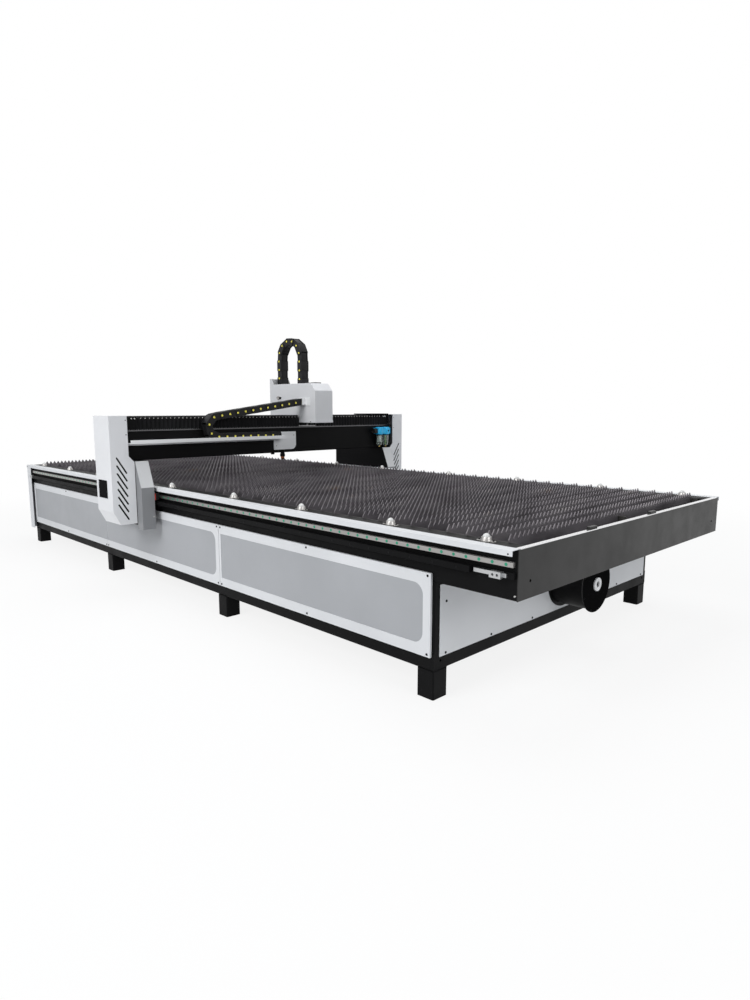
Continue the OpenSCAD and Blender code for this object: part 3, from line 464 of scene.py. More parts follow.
dress("dull_plate", FINE_EDGE, "beam_top_plate")
dress("plate_aluminium", FINE_EDGE, "travel_stops")
dress("black_aluminium", PLATE_EDGE, "foot_plate_near foot_plate_far bellows_mounts carriage_frame "
      "y_blocks z_plate torch_clamp")
dress("motor_black", PLATE_EDGE, "x_drives y_drive z_motor")
dress("window_black", PLATE_EDGE, "service_panels")
dress("air_blue", FOLD_EDGE, "air_unit")
dress("bowl_clear", 0, "air_bowls")
dress("torch_black", 0, "torch_body")
dress("torch_copper", 0, "torch_nozzle")
print("dressed", sum(1 for n in nodes.values() if n.modifiers), "nodes with rounded edges")

# %% [markdown]
# ## Tools for pieces
# Each new piece is drawn once with bmesh operators, copied to its places, and handed over with
# its finish and the body it rides on. One mesh for a row of like pieces keeps the list of pieces
# short, where linked copies would fill it.

# %% Tools for pieces
OUTWARDS = {"near": -1, "far": 1}


def mid(node):
    """The middle of a CAD node's box."""
    low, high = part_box(node)
    return (low + high) / 2


def add_piece(name, bm, finishes, body, smooth=0):
    bmesh.ops.recalc_face_normals(bm, faces=bm.faces)
    mesh = bpy.data.meshes.new(name)
    bm.to_mesh(mesh)
    bm.free()
    for finish in finishes:
        mesh.materials.append(coats[finish])
    if smooth:
        mesh.shade_smooth()
        mesh.set_sharp_from_angle(angle=math.radians(smooth))
    made = bpy.data.objects.new(name, mesh)
    scene.collection.objects.link(made)
    if body:
        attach(made, body)
    return made


# %% [markdown]
# The operators of bmesh take many settings. Short functions keep those that this lesson needs, and
# each draws or moves one thing.

# %% Tools for drawing


def all_of(bm):
    return bm.verts[:] + bm.edges[:] + bm.faces[:]


def new_verts(made):
    return [g for g in made["geom"] if isinstance(g, bmesh.types.BMVert)]


def move(bm, verts, way):
    bmesh.ops.translate(bm, verts=verts, vec=way)


def shift(bm, way):
    """Moves all that is drawn."""
    move(bm, bm.verts[:], way)


def rotate(bm, verts, matrix):
    bmesh.ops.rotate(bm, verts=verts, cent=(0, 0, 0), matrix=matrix)


def facing(axis):
    """The turn that brings Z to look along an axis."""
    return Vector((0, 0, 1)).rotation_difference(Vector(axis)).to_matrix()


def bevel(bm, geom, width, kind, segments):
    bmesh.ops.bevel(bm, geom=geom, offset=width, offset_type="OFFSET", affect=kind,
                    segments=segments, profile=0.5, material=-1)


def copy_to(bm, places):
    """Copies what is drawn at the origin to each place, and moves the original to the first."""
    drawn = all_of(bm)
    first = bm.verts[:]
    for place in places[1:]:
        move(bm, new_verts(bmesh.ops.duplicate(bm, geom=drawn)), place)
    move(bm, first, places[0])


def turn_to(bm, axis):
    """Turns what is drawn along Z to look along axis."""
    rotate(bm, bm.verts[:], facing(axis))


def draw_square(bm, wide, high):
    made = bmesh.ops.create_grid(bm, x_segments=1, y_segments=1, size=0.5)["verts"]
    bmesh.ops.scale(bm, verts=made, vec=(wide, high, 1))
    return made


def draw_cone(bm, sides, foot, top, height):
    """A cone along Z with its middle in the origin; foot and top are its radii."""
    return bmesh.ops.create_cone(bm, cap_ends=True, segments=sides, radius1=foot, radius2=top,
                                 depth=height)["verts"]


def draw_block(bm, low, high, soft=0.0):
    """A block between two corners, with its edges bevelled."""
    low, high = Vector(low), Vector(high)
    made = bmesh.ops.create_cube(bm, size=1)["verts"]
    bmesh.ops.scale(bm, verts=made, vec=high - low)
    move(bm, made, (low + high) / 2)
    if soft:
        bevel(bm, list({e for v in made for e in v.link_edges}), soft, "EDGES", 2)


def top_face(bm):
    return max(bm.faces, key=lambda f: f.calc_center_median().z)


def sink_top(bm, rim, slope, depth):
    """Leaves a flat rim on the top face and sinks what is inside it."""
    top = [top_face(bm)]
    bmesh.ops.inset_region(bm, faces=top, thickness=rim)
    bmesh.ops.inset_region(bm, faces=top, thickness=slope, depth=-depth)


# %% [markdown]
# A button head with a hexagon socket is a low cone whose top is inset and pushed down. The machine
# has many kinds, so a table holds each kind's radius and height in millimetres and its finish.

# %% Screws
SCREWS = {"panel": (6, 2.6, "screw_black"), "cover": (5, 2.4, "screw_black"),
          "small": (3.5, 1.6, "screw_black"), "rack": (5, 1.5, "screw_black"),
          "flange": (4.5, 3, "screw_black"), "block": (6.5, 5, "screw_black"),
          "duct": (5, 4, "screw_black"), "plug": (8, 3, "screw_black"),
          "barrel": (9.5, 14, "screw_black"), "frame": (5, 2.4, "screw_zinc"),
          "corner": (4.5, 3, "screw_zinc"), "lift": (5, 4, "screw_zinc"), "clamp": (4.5, 4, "screw_zinc")}


def draw_screw(bm, radius, height):
    """A button head with a hexagon socket, standing on Z = 0."""
    move(bm, draw_cone(bm, 12, radius, 0.72 * radius, height), (0, 0, height / 2))
    top = top_face(bm)
    bmesh.ops.inset_region(bm, faces=[top], thickness=0.3 * radius)
    move(bm, top.verts[:], (0, 0, -0.6 * height))


def add_screws(name, kind, places, axis, body):
    """Screws of one kind, each standing on its place and looking along axis."""
    radius, height, finish = SCREWS[kind]
    bm = bmesh.new()
    draw_screw(bm, radius * MM, height * MM)
    turn_to(bm, axis)
    copy_to(bm, [Vector(p) for p in places])
    add_piece(name, bm, [finish], body, 35)


print("kinds of screw", len(SCREWS))

# %% [markdown]
# ## Rails, racks and ball transfers
# A linear rail is bolted down through counterbored holes every 60 mm, and each hole is closed
# with a green plastic cap, almost flush, so that the block's wiper passes. The rack below it
# is bolted every 120 mm, and its teeth point down to the drive pinion.

# %% Rail caps and rack screws
rail_low, rail_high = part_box("x_rails")
rack_low, rack_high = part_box("x_racks")
RAIL_PITCH, RACK_PITCH = mm(60, 120)
CAP_R, CAP_TOP_R, CAP_T = mm(7, 6.4, 1.2)
rail_mid = mid("x_rails").z
rack_mid = mid("x_racks").z
cap_count = int((rail_high.x - rail_low.x) / RAIL_PITCH)
rack_count = int((rack_high.x - rack_low.x) / RACK_PITCH)
for side, out in OUTWARDS.items():
    bm = bmesh.new()
    draw_cone(bm, 16, CAP_R, CAP_TOP_R, CAP_T)
    turn_to(bm, (0, out, 0))
    copy_to(bm, [Vector((rail_high.x - (i + 0.5) * RAIL_PITCH, out * rail_high.y, rail_mid))
                 for i in range(cap_count)])
    add_piece("rail_caps_" + side, bm, ["cap_green"], "table", 35)
    add_screws("rack_screws_" + side, "rack",
               [(rack_high.x - (i + 0.5) * RACK_PITCH, out * rack_high.y, rack_mid)
                for i in range(rack_count)], (0, out, 0), "table")
print("rail caps", 2 * cap_count, "rack screws", 2 * rack_count)

# %% [markdown]
# The teeth have the pinion's pitch: a 24-tooth pinion rolls on a 24 mm pitch radius, so one tooth
# takes a twenty-fourth of that circle. One tooth is drawn and the row is doubled until it is long
# enough, which takes ten steps in place of hundreds.

# %% Rack teeth
PINION_TEETH, PITCH_RADIUS = 24, 24 * MM
TOOTH_PITCH = 2 * math.pi * PITCH_RADIUS / PINION_TEETH
TOOTH_DEPTH, TOOTH_HALF, TOOTH_ROOT, RACK_INNER = mm(3.6, 1.9, 0.05, 1036)
TIP_SHARE = 0.45


def draw_row(bm, count, step):
    """Repeats what is drawn along step, doubling the row each time."""
    step = Vector(step)
    made = 1
    while made < count:
        copied = bmesh.ops.duplicate(bm, geom=all_of(bm))
        move(bm, new_verts(copied), step * made)
        made *= 2
    row_end = (count - 0.5) * step.length
    extra = [v for v in bm.verts if v.co.dot(step.normalized()) > row_end]
    bmesh.ops.delete(bm, geom=extra, context="VERTS")


tooth_count = int((rack_high.x - rack_low.x) / TOOTH_PITCH) - 1
first_tooth = mid("x_pinion_near").x + TOOTH_PITCH / 2
first_tooth -= TOOTH_PITCH * math.floor((first_tooth - rack_low.x) / TOOTH_PITCH - 0.5)
for side, out in OUTWARDS.items():
    bm = bmesh.new()
    draw_block(bm, (-TOOTH_HALF, 0, -TOOTH_DEPTH), (TOOTH_HALF, rack_high.y - RACK_INNER, TOOTH_ROOT))
    tips = [v for v in bm.verts if v.co.z < -TOOTH_DEPTH / 2]
    bmesh.ops.scale(bm, verts=tips, vec=(TIP_SHARE, 1, 1))
    draw_row(bm, tooth_count, (TOOTH_PITCH, 0, 0))
    shift(bm, (first_tooth, RACK_INNER if out > 0 else -rack_high.y, rack_low.z))
    add_piece("rack_teeth_" + side, bm, ["frame_black"], "table")
print("rack teeth", 2 * tooth_count)

# %% [markdown]
# A ball transfer is a nylon ball in a steel cup, so that a heavy sheet rolls onto the slats. The
# CAD cup stays, and a fine icosphere, which has no poles, takes the place of the faceted ball.

# %% Ball transfers
BALLS = mm(180, 686, 1306, 1920, 2640, 3220, 3800, 4380, 4985)
FLANGE_T, FLANGE_SCREW = mm(4, 33)
ball_low, ball_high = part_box("transfer_balls")
cup_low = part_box("ball_cups")[0]
ball_r = (ball_high.z - ball_low.z) / 2
ball_spots = [Vector((cad_box[1].x - b, s * (ball_high.y - ball_r), ball_high.z - ball_r))
              for b in BALLS for s in (-1, 1)]
bm = bmesh.new()
bmesh.ops.create_icosphere(bm, subdivisions=3, radius=ball_r)
copy_to(bm, ball_spots)
balls = add_piece("ball_domes", bm, ["ball_nylon"], "table", 180)
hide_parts("transfer_balls")
add_screws("ball_screws", "flange",
           [(spot.x + t * FLANGE_SCREW, spot.y, cup_low.z + FLANGE_T)
            for spot in ball_spots for t in (-1, 1)], (0, 0, 1), "table")
print("ball transfers", len(ball_spots))

# %% [markdown]
# ## Bellows
# The beam's rails hide under pleated cloth. One pleat is a valley, a ridge and the next valley:
# an open edge in the shape of the cover is extruded along Y, and drawn in at every other step.
# The cloth folds up as the carriage comes, so the row is cut into lengths, and the ends of the
# row, where it would bunch, have the shortest lengths.

# %% Tools for bellows
PLEAT_PITCH, PLEAT_DEPTH, CLOTH_T, CLOTH_CORNER, CLOTH_UP = mm(30, 10, 1.5, 9, 1)
bellows_low, bellows_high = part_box("bellows_near")
beam_mid = mid("bellows_near").x
half_width = (bellows_high.x - bellows_low.x) / 2
cloth_foot = bellows_low.z + CLOTH_UP
cloth_top = bellows_high.z


def share_between(piece, fixed, moving, low, high, low_share, high_share):
    """Bakes the piece's transform into its mesh; fixed, moving, low, high, low_share and high_share are
    not used.
    """
    low, high = Vector(low), Vector(high)
    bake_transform(piece)


def draw_pleats(bm, start, step, count):
    """An inverted U of cloth, extruded into pleats along Y."""
    half = [(0, cloth_foot), (0, cloth_top - CLOTH_CORNER), (CLOTH_CORNER, cloth_top)]
    outline = [(x - half_width, z) for x, z in half] + [(half_width - x, z) for x, z in half[::-1]]
    points = [bm.verts.new((x, start, z)) for x, z in outline]
    edges = [bm.edges.new(pair) for pair in zip(points, points[1:])]
    rows = [points]
    for _ in range(2 * count):
        grown = bmesh.ops.extrude_edge_only(bm, edges=edges)
        points = new_verts(grown)
        edges = [g for g in grown["geom"] if isinstance(g, bmesh.types.BMEdge)
                 and all(v in points for v in g.verts)]
        move(bm, points, (0, step / 2, 0))
        rows.append(points)
    for v in [v for row in rows[::2] for v in row]:
        v.co.x -= math.copysign(PLEAT_DEPTH, v.co.x)
        v.co.z -= PLEAT_DEPTH if v.co.z > cloth_foot else 0


def cut_lengths(count):
    """Where a row of pleats is cut: after 1, 2, 4 and so on from each end."""
    ends = [0] + [2 ** k for k in range(6) if 2 ** k < count / 3]
    return ends + [count - c for c in reversed(ends)]


print("cloth", round(2 * half_width, 3), "m wide")

# %% [markdown]
# Each ridge has a rivet on both sides, in a piece for each length of cloth. Those that
# would lie under the frame at the column are left out.

# %% Bellows
RIVET_R, RIVET_DROP, RIVET_LIMIT = mm(4, 15, 1112)
rivet_count = 0
for side in OUTWARDS:
    low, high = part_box("bellows_" + side)
    near_end, far_end = (low.y, high.y) if side == "near" else (high.y, low.y)
    pleats = round((high.y - low.y) / PLEAT_PITCH)
    step = (far_end - near_end) / pleats
    cuts = cut_lengths(pleats)
    for k, (a, b) in enumerate(zip(cuts, cuts[1:]), 1):
        bm = bmesh.new()
        draw_pleats(bm, near_end + a * step, step, b - a)
        bmesh.ops.recalc_face_normals(bm, faces=bm.faces)
        shift(bm, (beam_mid, 0, 0))
        bmesh.ops.solidify(bm, geom=bm.faces[:], thickness=CLOTH_T)
        cloth = add_piece(f"bellows_{side}_{k}", bm, ["bellows_cloth"], None)
        ends = ((0, near_end + a * step, 0), (0, near_end + b * step, 0))
        share_between(cloth, "gantry", "carriage", *ends, a / pleats, b / pleats)
        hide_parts("bellows_" + side)
        ridges = [near_end + (a + i + 0.5) * step for i in range(b - a)]
        rivets = [Vector((beam_mid + s * half_width, y, cloth_top - RIVET_DROP))
                  for y in ridges for s in (-1, 1) if abs(y) < RIVET_LIMIT]
        if rivets:
            bm = bmesh.new()
            bmesh.ops.create_icosphere(bm, subdivisions=1, radius=RIVET_R)
            copy_to(bm, rivets)
            rivet_count += len(rivets)
            dots = add_piece(f"bellows_rivets_{side}_{k}", bm, ["rail_steel"], None, 180)
            share_between(dots, "gantry", "carriage", *ends, a / pleats, b / pleats)
print("bellows rivets", rivet_count)

# %% [markdown]
# ## Cable chains
# A link is two side plates with rounded corners, held apart by snap-in lids, and the next link's
# plates lie inside or outside it, so their width alternates. The plate is a flat square with its
# corners bevelled, extruded and inset, and each pin has a yellow end. Links are separate pieces.

# %% Chain link
LINK_H, LINK_W, LINK_PITCH, LINK_STEP = mm(50, 74, 66, 5)
PLATE_T, PLATE_OVERLAP, PLATE_CORNER = mm(4.6, 26, 14)
PLATE_EDGE_IN, PLATE_RISE, PIN_R, PIN_T = mm(0.8, 0.7, 8.5, 2)
LID_HALF, LID_T, LID_SOFT, OUTER_SUNK, INNER_SUNK = mm(35, 4, 0.8, 3, 5.5)


def draw_plate(bm, length, side):
    """One side plate, its face to +X or -X, centred on the link's line along Y."""
    before = set(bm.verts)
    bevel(bm, draw_square(bm, length + PLATE_OVERLAP, LINK_H), PLATE_CORNER, "VERTICES", 3)
    face = [f for f in bm.faces if not before.intersection(f.verts)]
    grown = bmesh.ops.extrude_face_region(bm, geom=face)
    tops = [g for g in grown["geom"] if isinstance(g, bmesh.types.BMFace)]
    move(bm, new_verts(grown), (0, 0, PLATE_T))
    bmesh.ops.inset_region(bm, faces=tops, thickness=PLATE_EDGE_IN, depth=0)
    move(bm, tops[0].verts[:], (0, 0, PLATE_RISE))
    plate = [v for v in bm.verts if v not in before]
    turn = Matrix(((0, 0, side), (1, 0, 0), (0, side, 0)))
    rotate(bm, plate, turn)
    return plate


def draw_link(bm, length, outer, pin_ends):
    """A link along Y; an outer link carries yellow pins at its ends."""
    half = LINK_W / 2 - (0 if outer else LINK_STEP)
    for side in (-1, 1):
        plate = draw_plate(bm, length, side)
        move(bm, plate, (side * (half - PLATE_T - PLATE_RISE), 0, 0))
        for end in pin_ends if outer else ():
            pin = draw_cone(bm, 12, PIN_R, 0.8 * PIN_R, PIN_T)
            rotate(bm, pin, facing((side, 0, 0)))
            move(bm, pin, (side * half, end * length / 2, 0))
            for f in {f for v in pin for f in v.link_faces}:
                f.material_index = 1
    lid_z = LINK_H / 2 - (OUTER_SUNK if outer else INNER_SUNK)
    wide = half - PLATE_T
    for z in (-lid_z, lid_z):
        draw_block(bm, (-wide, -LID_HALF, z - LID_T / 2), (wide, LID_HALF, z + LID_T / 2), LID_SOFT)


def add_link(name, a, b, outer, pin_ends, cross, node):
    """A link from point a to point b; cross is the way its pins run."""
    along = (b - a).normalized()
    bm = bmesh.new()
    draw_link(bm, (b - a).length, outer, pin_ends)
    turn = Matrix((cross, along, cross.cross(along))).transposed()
    rotate(bm, bm.verts[:], turn)
    shift(bm, (a + b) / 2)
    link = add_piece(name, bm, ["chain_black", "chain_yellow"], None, 40)
    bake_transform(link)
    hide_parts(node)


# %% [markdown]
# The long chain starts on the tray, runs back, turns over and climbs to its bracket on the
# carriage. The lift chain stands on the carriage, loops over and comes down to the lift. Both
# routes are a straight, an arc and a straight, in the sizes that the CAD source has.

# %% Chain routes
BEND, TILT = 70 * MM, math.radians(8)
CHAIN_X, RUN_FROM, RUN_TO, RUN_Z, BRACKET_Y = mm(-151, -40, -565, 1010, 177)
LOOP, RISE_X, LIFT_Y = mm(130, -249, 293)
RISE_Z, LOOP_Z, DROP_Z = mm(1365, 1600, 1379)
ALONG, ACROSS, UPWARD = Vector((1, 0, 0)), Vector((0, 1, 0)), Vector((0, 0, 1))


def route(s, start, way, side, run, radius, angle):
    """The point at s of a straight, an arc that turns from way towards side, and a straight."""
    turned = min(max(s - run, 0) / radius, angle)
    arc = way * math.sin(turned) + side * (1 - math.cos(turned))
    ahead = way * math.cos(turned) + side * math.sin(turned)
    return start + way * min(s, run) + arc * radius + ahead * max(s - run - radius * angle, 0)


def add_chain(node, path, last, cross):
    """Links along a path; the first one's start is hidden, so it has no pin there."""
    run, radius, angle = path[3:]
    whole = run + radius * angle + last
    count = round(whole / LINK_PITCH)
    ends = [route(i * whole / count, *path) for i in range(count + 1)]
    for i, (a, b) in enumerate(zip(ends, ends[1:])):
        pin_ends = (-1, 1) if i else (1,)
        add_link(f"{node}_link_{i + 1:02d}", a, b, i % 2 == 0, pin_ends, cross,
                 node)
    print(node, count, "links")


climb = (BRACKET_Y - RUN_TO + BEND * math.sin(TILT)) / math.cos(TILT)
long_path = (Vector((CHAIN_X, RUN_FROM, RUN_Z)), -ACROSS, UPWARD, RUN_FROM - RUN_TO, BEND, math.pi - TILT)
lift_path = (Vector((RISE_X, LIFT_Y, RISE_Z)), UPWARD, -ALONG, LOOP_Z - RISE_Z, LOOP, math.pi)
add_chain("y_chain", long_path, climb, ALONG)
add_chain("z_chain", lift_path, LOOP_Z - DROP_Z, -ACROSS)

# %% [markdown]
# ## Panels
# The side covers hang on two rows of button screws, beside each joint and halfway between, and the
# end covers have a row along their edges.

# %% Panel screws
PANEL_JOINTS = mm(2201, 608, -950, -2503)
SCREW_IN, SCREW_EDGE = mm(18, 12)
END_YS = mm(-946, -621, -280, 280, 621, 946)
END_SIDE_Y, END_UP, END_SIDE_UP = mm(946, 10, 232)
REAR_YS = mm(-980, -490, 0, 490, 980)
REAR_FOOT, REAR_HEAD = mm(40, 60)
panel_low, panel_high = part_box("side_panels")
end_low, end_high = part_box("end_panel_front")
rear_low, rear_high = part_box("end_plate_rear")
panel_rows = (panel_low.z + SCREW_EDGE, panel_high.z - SCREW_EDGE)
panel_xs = [joint + t * SCREW_IN for joint in PANEL_JOINTS for t in (-1, 1)]
panel_xs += [(a + b) / 2 for a, b in zip(PANEL_JOINTS, PANEL_JOINTS[1:])]
panel_xs = [x for x in panel_xs if panel_low.x < x < panel_high.x]
for side, out in OUTWARDS.items():
    add_screws("panel_screws_" + side, "panel",
               [(x, out * panel_high.y, z) for x in panel_xs for z in panel_rows],
               (0, out, 0), "table")
end_places = [(end_high.x, y, end_low.z + END_UP) for y in END_YS]
end_places += [(end_high.x, s * END_SIDE_Y, end_low.z + END_SIDE_UP) for s in (-1, 1)]
add_screws("end_panel_screws", "panel", end_places, (1, 0, 0), "table")
rear_places = [(rear_low.x, y, z) for y in REAR_YS
               for z in (rear_low.z + REAR_FOOT, rear_high.z - REAR_HEAD)]
add_screws("rear_plate_screws", "panel", rear_places, (-1, 0, 0), "table")
print("panel screws", 4 * len(panel_xs) + len(end_places) + len(rear_places))

# %% [markdown]
# ## Column fittings
# A column is a folded sheet box with a service window and louvres. The window's frame is a flat
# square that is inset, loses its middle and is extruded, so its corners are one piece, where four
# strips would show their joints. The mat behind the louvres is a flat face whose cut corners clear
# the column's slanted foot; planes slice it into squares, each poked up, as quilted mat is.

# %% Tools for windows and mats
MAT_Y, MAT_Z, MAT_CORNER = mm(1180, 1292), mm(498, 904), 26 * MM
MAT_RIB, MAT_RISE, MAT_T, MAT_GAP = mm(11, 1.2, 1.5, 4)


def draw_rim(bm, wide, high, width, thick):
    """A flat frame in X and Y, standing on Z = 0."""
    draw_square(bm, wide, high)
    inside = bm.faces[:]
    bmesh.ops.inset_region(bm, faces=inside, thickness=width, use_boundary=True)
    bmesh.ops.delete(bm, geom=inside, context="FACES_ONLY")
    grown = bmesh.ops.extrude_face_region(bm, geom=bm.faces[:])
    move(bm, new_verts(grown), (0, 0, thick))


def draw_mat(bm, wide, high):
    """A quilted sheet that looks along X, wide in Y and high in Z."""
    bevel(bm, draw_square(bm, wide, high), MAT_CORNER, "VERTICES", 1)
    for axis, length in (((1, 0, 0), wide), ((0, 1, 0), high)):
        cuts = int(length / MAT_RIB)
        for i in range(1, cuts):
            place = Vector(axis) * ((i / cuts - 0.5) * length)
            bmesh.ops.bisect_plane(bm, geom=all_of(bm), plane_co=place, plane_no=axis)
    bmesh.ops.poke(bm, faces=bm.faces[:], offset=MAT_RISE)
    bmesh.ops.solidify(bm, geom=bm.faces[:], thickness=MAT_T)
    rotate(bm, bm.verts[:], Matrix(((0, 0, 1), (1, 0, 0), (0, 1, 0))))


# %% [markdown]
# The frame is white, and the black bars in it lie within the thickness of the sheet, in front of
# the panel. The dark mat hangs inside, behind the louvred sheet.

# %% Service windows and filter mats
SHEET_T = 3 * MM
WINDOW_X, WINDOW_Z = mm(28, 161), mm(640, 755)
RIM_W, RIM_T = mm(7, 1.6)
BAR_H, BAR_STEP, BAR_SUNK, BAR_FIRST, BAR_SOFT = mm(4, 11, 0.3, 4, 0.6)
column_low, column_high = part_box("column_cover_near")
window_x = [column_low.x + x for x in WINDOW_X]
window_mid = Vector((sum(window_x) / 2, 0, sum(WINDOW_Z) / 2))
window_wide, window_high = window_x[1] - window_x[0], WINDOW_Z[1] - WINDOW_Z[0]
bar_zs = [WINDOW_Z[0] + BAR_FIRST + i * BAR_STEP for i in range(int(window_high / BAR_STEP))]
for side, out in OUTWARDS.items():
    wall = out * -column_low.y
    bm = bmesh.new()
    draw_rim(bm, window_wide + 2 * RIM_W, window_high + 2 * RIM_W, RIM_W, RIM_T)
    turn_to(bm, (0, out, 0))
    shift(bm, window_mid + Vector((0, wall, 0)))
    add_piece("window_rim_" + side, bm, ["cover_white"], "gantry")
    bm = bmesh.new()
    ys = sorted((-out * SHEET_T, -out * BAR_SUNK))
    draw_block(bm, (-window_wide / 2, ys[0], 0), (window_wide / 2, ys[1], BAR_H), BAR_SOFT)
    copy_to(bm, [Vector((window_mid.x, wall, z)) for z in bar_zs])
    add_piece("window_bars_" + side, bm, ["window_black"], "gantry")
    bm = bmesh.new()
    draw_mat(bm, MAT_Y[1] - MAT_Y[0], MAT_Z[1] - MAT_Z[0])
    shift(bm, (column_high.x - SHEET_T - MAT_GAP, out * sum(MAT_Y) / 2, sum(MAT_Z) / 2))
    add_piece("louvre_mat_" + side, bm, ["bellows_cloth"], "gantry")
print("window bars", 2 * len(bar_zs))

# %% [markdown]
# Small screws close the column, one holds each foot cover, and four bolts in the foot plate hold
# each rail block. They stand on the faces that the CAD boxes give.

# %% Column and foot screws
BLOCK_XS = mm(-679, -190)
FOOT_T, BLOCK_DX, BLOCK_DZ = mm(30, 26, 13)
COLUMN_SCREWS = [mm(1210, 1130), mm(1210, 1040)]
FOOT_SCREW = mm(1085, 517)
foot_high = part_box("foot_covers")[1]
plate_low, plate_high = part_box("foot_plate_near")
block_low, block_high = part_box("x_blocks")
rail_block_z = mid("x_blocks").z
for side, out in OUTWARDS.items():
    add_screws("column_screws_" + side, "small",
               [(column_high.x, out * y, z) for y, z in COLUMN_SCREWS],
               (1, 0, 0), "gantry")
    add_screws("foot_cover_screws_" + side, "frame",
               [(foot_high.x, out * FOOT_SCREW[0], FOOT_SCREW[1])],
               (1, 0, 0), "gantry")
    add_screws("block_bolts_" + side, "block",
               [(x + t * BLOCK_DX, out * (FOOT_T - plate_high.y), rail_block_z + u * BLOCK_DZ)
                for x in BLOCK_XS for t in (-1, 1) for u in (-1, 1)],
               (0, out, 0), "gantry")
print("foot plate bolts", 8 * len(BLOCK_XS))

# %% [markdown]
# A wiper at each end of a foot plate keeps spatter off the rail. It is a black block with a
# bevelled nose and a thin red lip, and it hangs on the inner face of the plate, clear of the rail.

# %% Rail wipers
WIPER_L, WIPER_T, WIPER_UP, WIPER_SOFT, RAIL_CLEAR, LIP_W = mm(26, 4, 2, 1.5, 4, 8)
for side, out in OUTWARDS.items():
    blocks, lips = bmesh.new(), bmesh.new()
    ys = [out * (rail_high.y + RAIL_CLEAR), out * (block_high.y - LIP_W), out * block_high.y]
    for x, nose in ((plate_high.x, 1), (plate_low.x, -1)):
        xs = sorted((x - nose * WIPER_L, x + nose * WIPER_T))
        for bm, (a, b) in ((blocks, sorted(ys[:2])), (lips, sorted(ys[1:]))):
            draw_block(bm, (xs[0], a, block_low.z + WIPER_UP), (xs[1], b, block_high.z), WIPER_SOFT)
    add_piece("rail_wipers_" + side, blocks, ["knob_black"], "gantry")
    add_piece("wiper_lips_" + side, lips, ["seal_red"], "gantry")
print("rail wipers", 2 * len(OUTWARDS))

# %% [markdown]
# ## Welds
# The legs are welded under the lower rails, and a weld is a row of small overlapping scales. One
# ball of few faces is copied along the four top edges of each leg, half sunk in the tube.

# %% Weld beads
LEG_XS = mm(2166, 608, -950, -2508)
LEG_Y, LEG_SIZE, LEG_TOP = mm(975, 90, 124)
BEAD_R, BEAD_STEP, BEAD_FREE, BEAD_SUNK, BEAD_IN = mm(4.2, 5.6, 14, 1, 0.6)
bead_count = int((LEG_SIZE - BEAD_FREE) / BEAD_STEP)
bead_line = [(i - (bead_count - 1) / 2) * BEAD_STEP for i in range(bead_count)]
half_leg = LEG_SIZE / 2 - BEAD_IN
bead_ring = [Vector((s * half_leg, t, 0)) for s in (-1, 1) for t in bead_line]
bead_ring += [Vector((t, s * half_leg, 0)) for s in (-1, 1) for t in bead_line]
for side, out in OUTWARDS.items():
    bm = bmesh.new()
    bmesh.ops.create_icosphere(bm, subdivisions=1, radius=BEAD_R)
    copy_to(bm, [Vector((x, out * LEG_Y, LEG_TOP - BEAD_SUNK)) + place
                 for x in LEG_XS for place in bead_ring])
    add_piece("leg_welds_" + side, bm, ["frame_black"], "table", 60)
print("weld scales", 2 * len(LEG_XS) * len(bead_ring))

# %% [markdown]
# ## Carriage cover
# The cover has a folded rim along its foot, a quarter-turn lock on the operator's side, a rubber
# strip on top and screws at its lower edge and its back. The lock's plate is a flattened cone
# whose face is inset twice, once for the border and once for the dish.

# %% Cover rim and lock
RIM_H, RIM_FOLD, RIM_IN, RIM_SOFT = mm(17, 2, 1, 0.9)
LOCK_FOOT_R, LOCK_TOP_R, LOCK_T = mm(21, 18, 7)
LOCK_OVAL = (1.15, 0.75, 1)
LOCK_RIM, LOCK_SLOPE, LOCK_DISH = mm(2.5, 1.5, 2.5)
LOCK_X, LOCK_Z, BARREL_X = mm(-454, 1288, 24)
COVER_TOP, STRIP_T, STRIP_SOFT = mm(1395, 7, 2)
STRIP_X, STRIP_Y = mm(-186, -66), mm(262, 324)
BACK_IN, BACK_UP, RIM_SCREW_UP = mm(18, 20, 8)
RIM_SCREW_XS = mm(-53, -520)
cover_low, cover_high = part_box("carriage_cover")
lock_at = Vector((LOCK_X, cover_low.y, LOCK_Z))
rim_x, rim_top = cover_high.x + RIM_FOLD, cover_low.z + RIM_H
bm = bmesh.new()
draw_block(bm, (cover_high.x - RIM_IN, cover_low.y, cover_low.z), (rim_x, cover_high.y, rim_top), RIM_SOFT)
for y in (cover_low.y - RIM_FOLD, cover_high.y - RIM_IN):
    draw_block(bm, (cover_low.x, y, cover_low.z), (rim_x, y + RIM_FOLD + RIM_IN, rim_top), RIM_SOFT)
add_piece("cover_rim", bm, ["cover_white"], "carriage")

bm = bmesh.new()
body = draw_cone(bm, 32, LOCK_FOOT_R, LOCK_TOP_R, LOCK_T)
move(bm, body, (0, 0, LOCK_T / 2))
bmesh.ops.scale(bm, verts=body, vec=LOCK_OVAL)
sink_top(bm, LOCK_RIM, LOCK_SLOPE, LOCK_DISH)
turn_to(bm, (0, -1, 0))
shift(bm, lock_at)
add_piece("lock_plate", bm, ["rail_steel"], "carriage", 35)
add_screws("lock_barrel", "barrel", [lock_at + Vector((BARREL_X, 0, 0))], (0, -1, 0), "carriage")
add_screws("cover_screws", "cover",
           [(x, cover_low.y - RIM_FOLD, cover_low.z + RIM_SCREW_UP) for x in RIM_SCREW_XS],
           (0, -1, 0), "carriage")
add_screws("cover_back_screws", "cover",
           [(cover_low.x, y, z) for y in (cover_low.y + BACK_IN, cover_high.y - BACK_IN)
            for z in (cover_low.z + BACK_UP, COVER_TOP)], (-1, 0, 0), "carriage")
bm = bmesh.new()
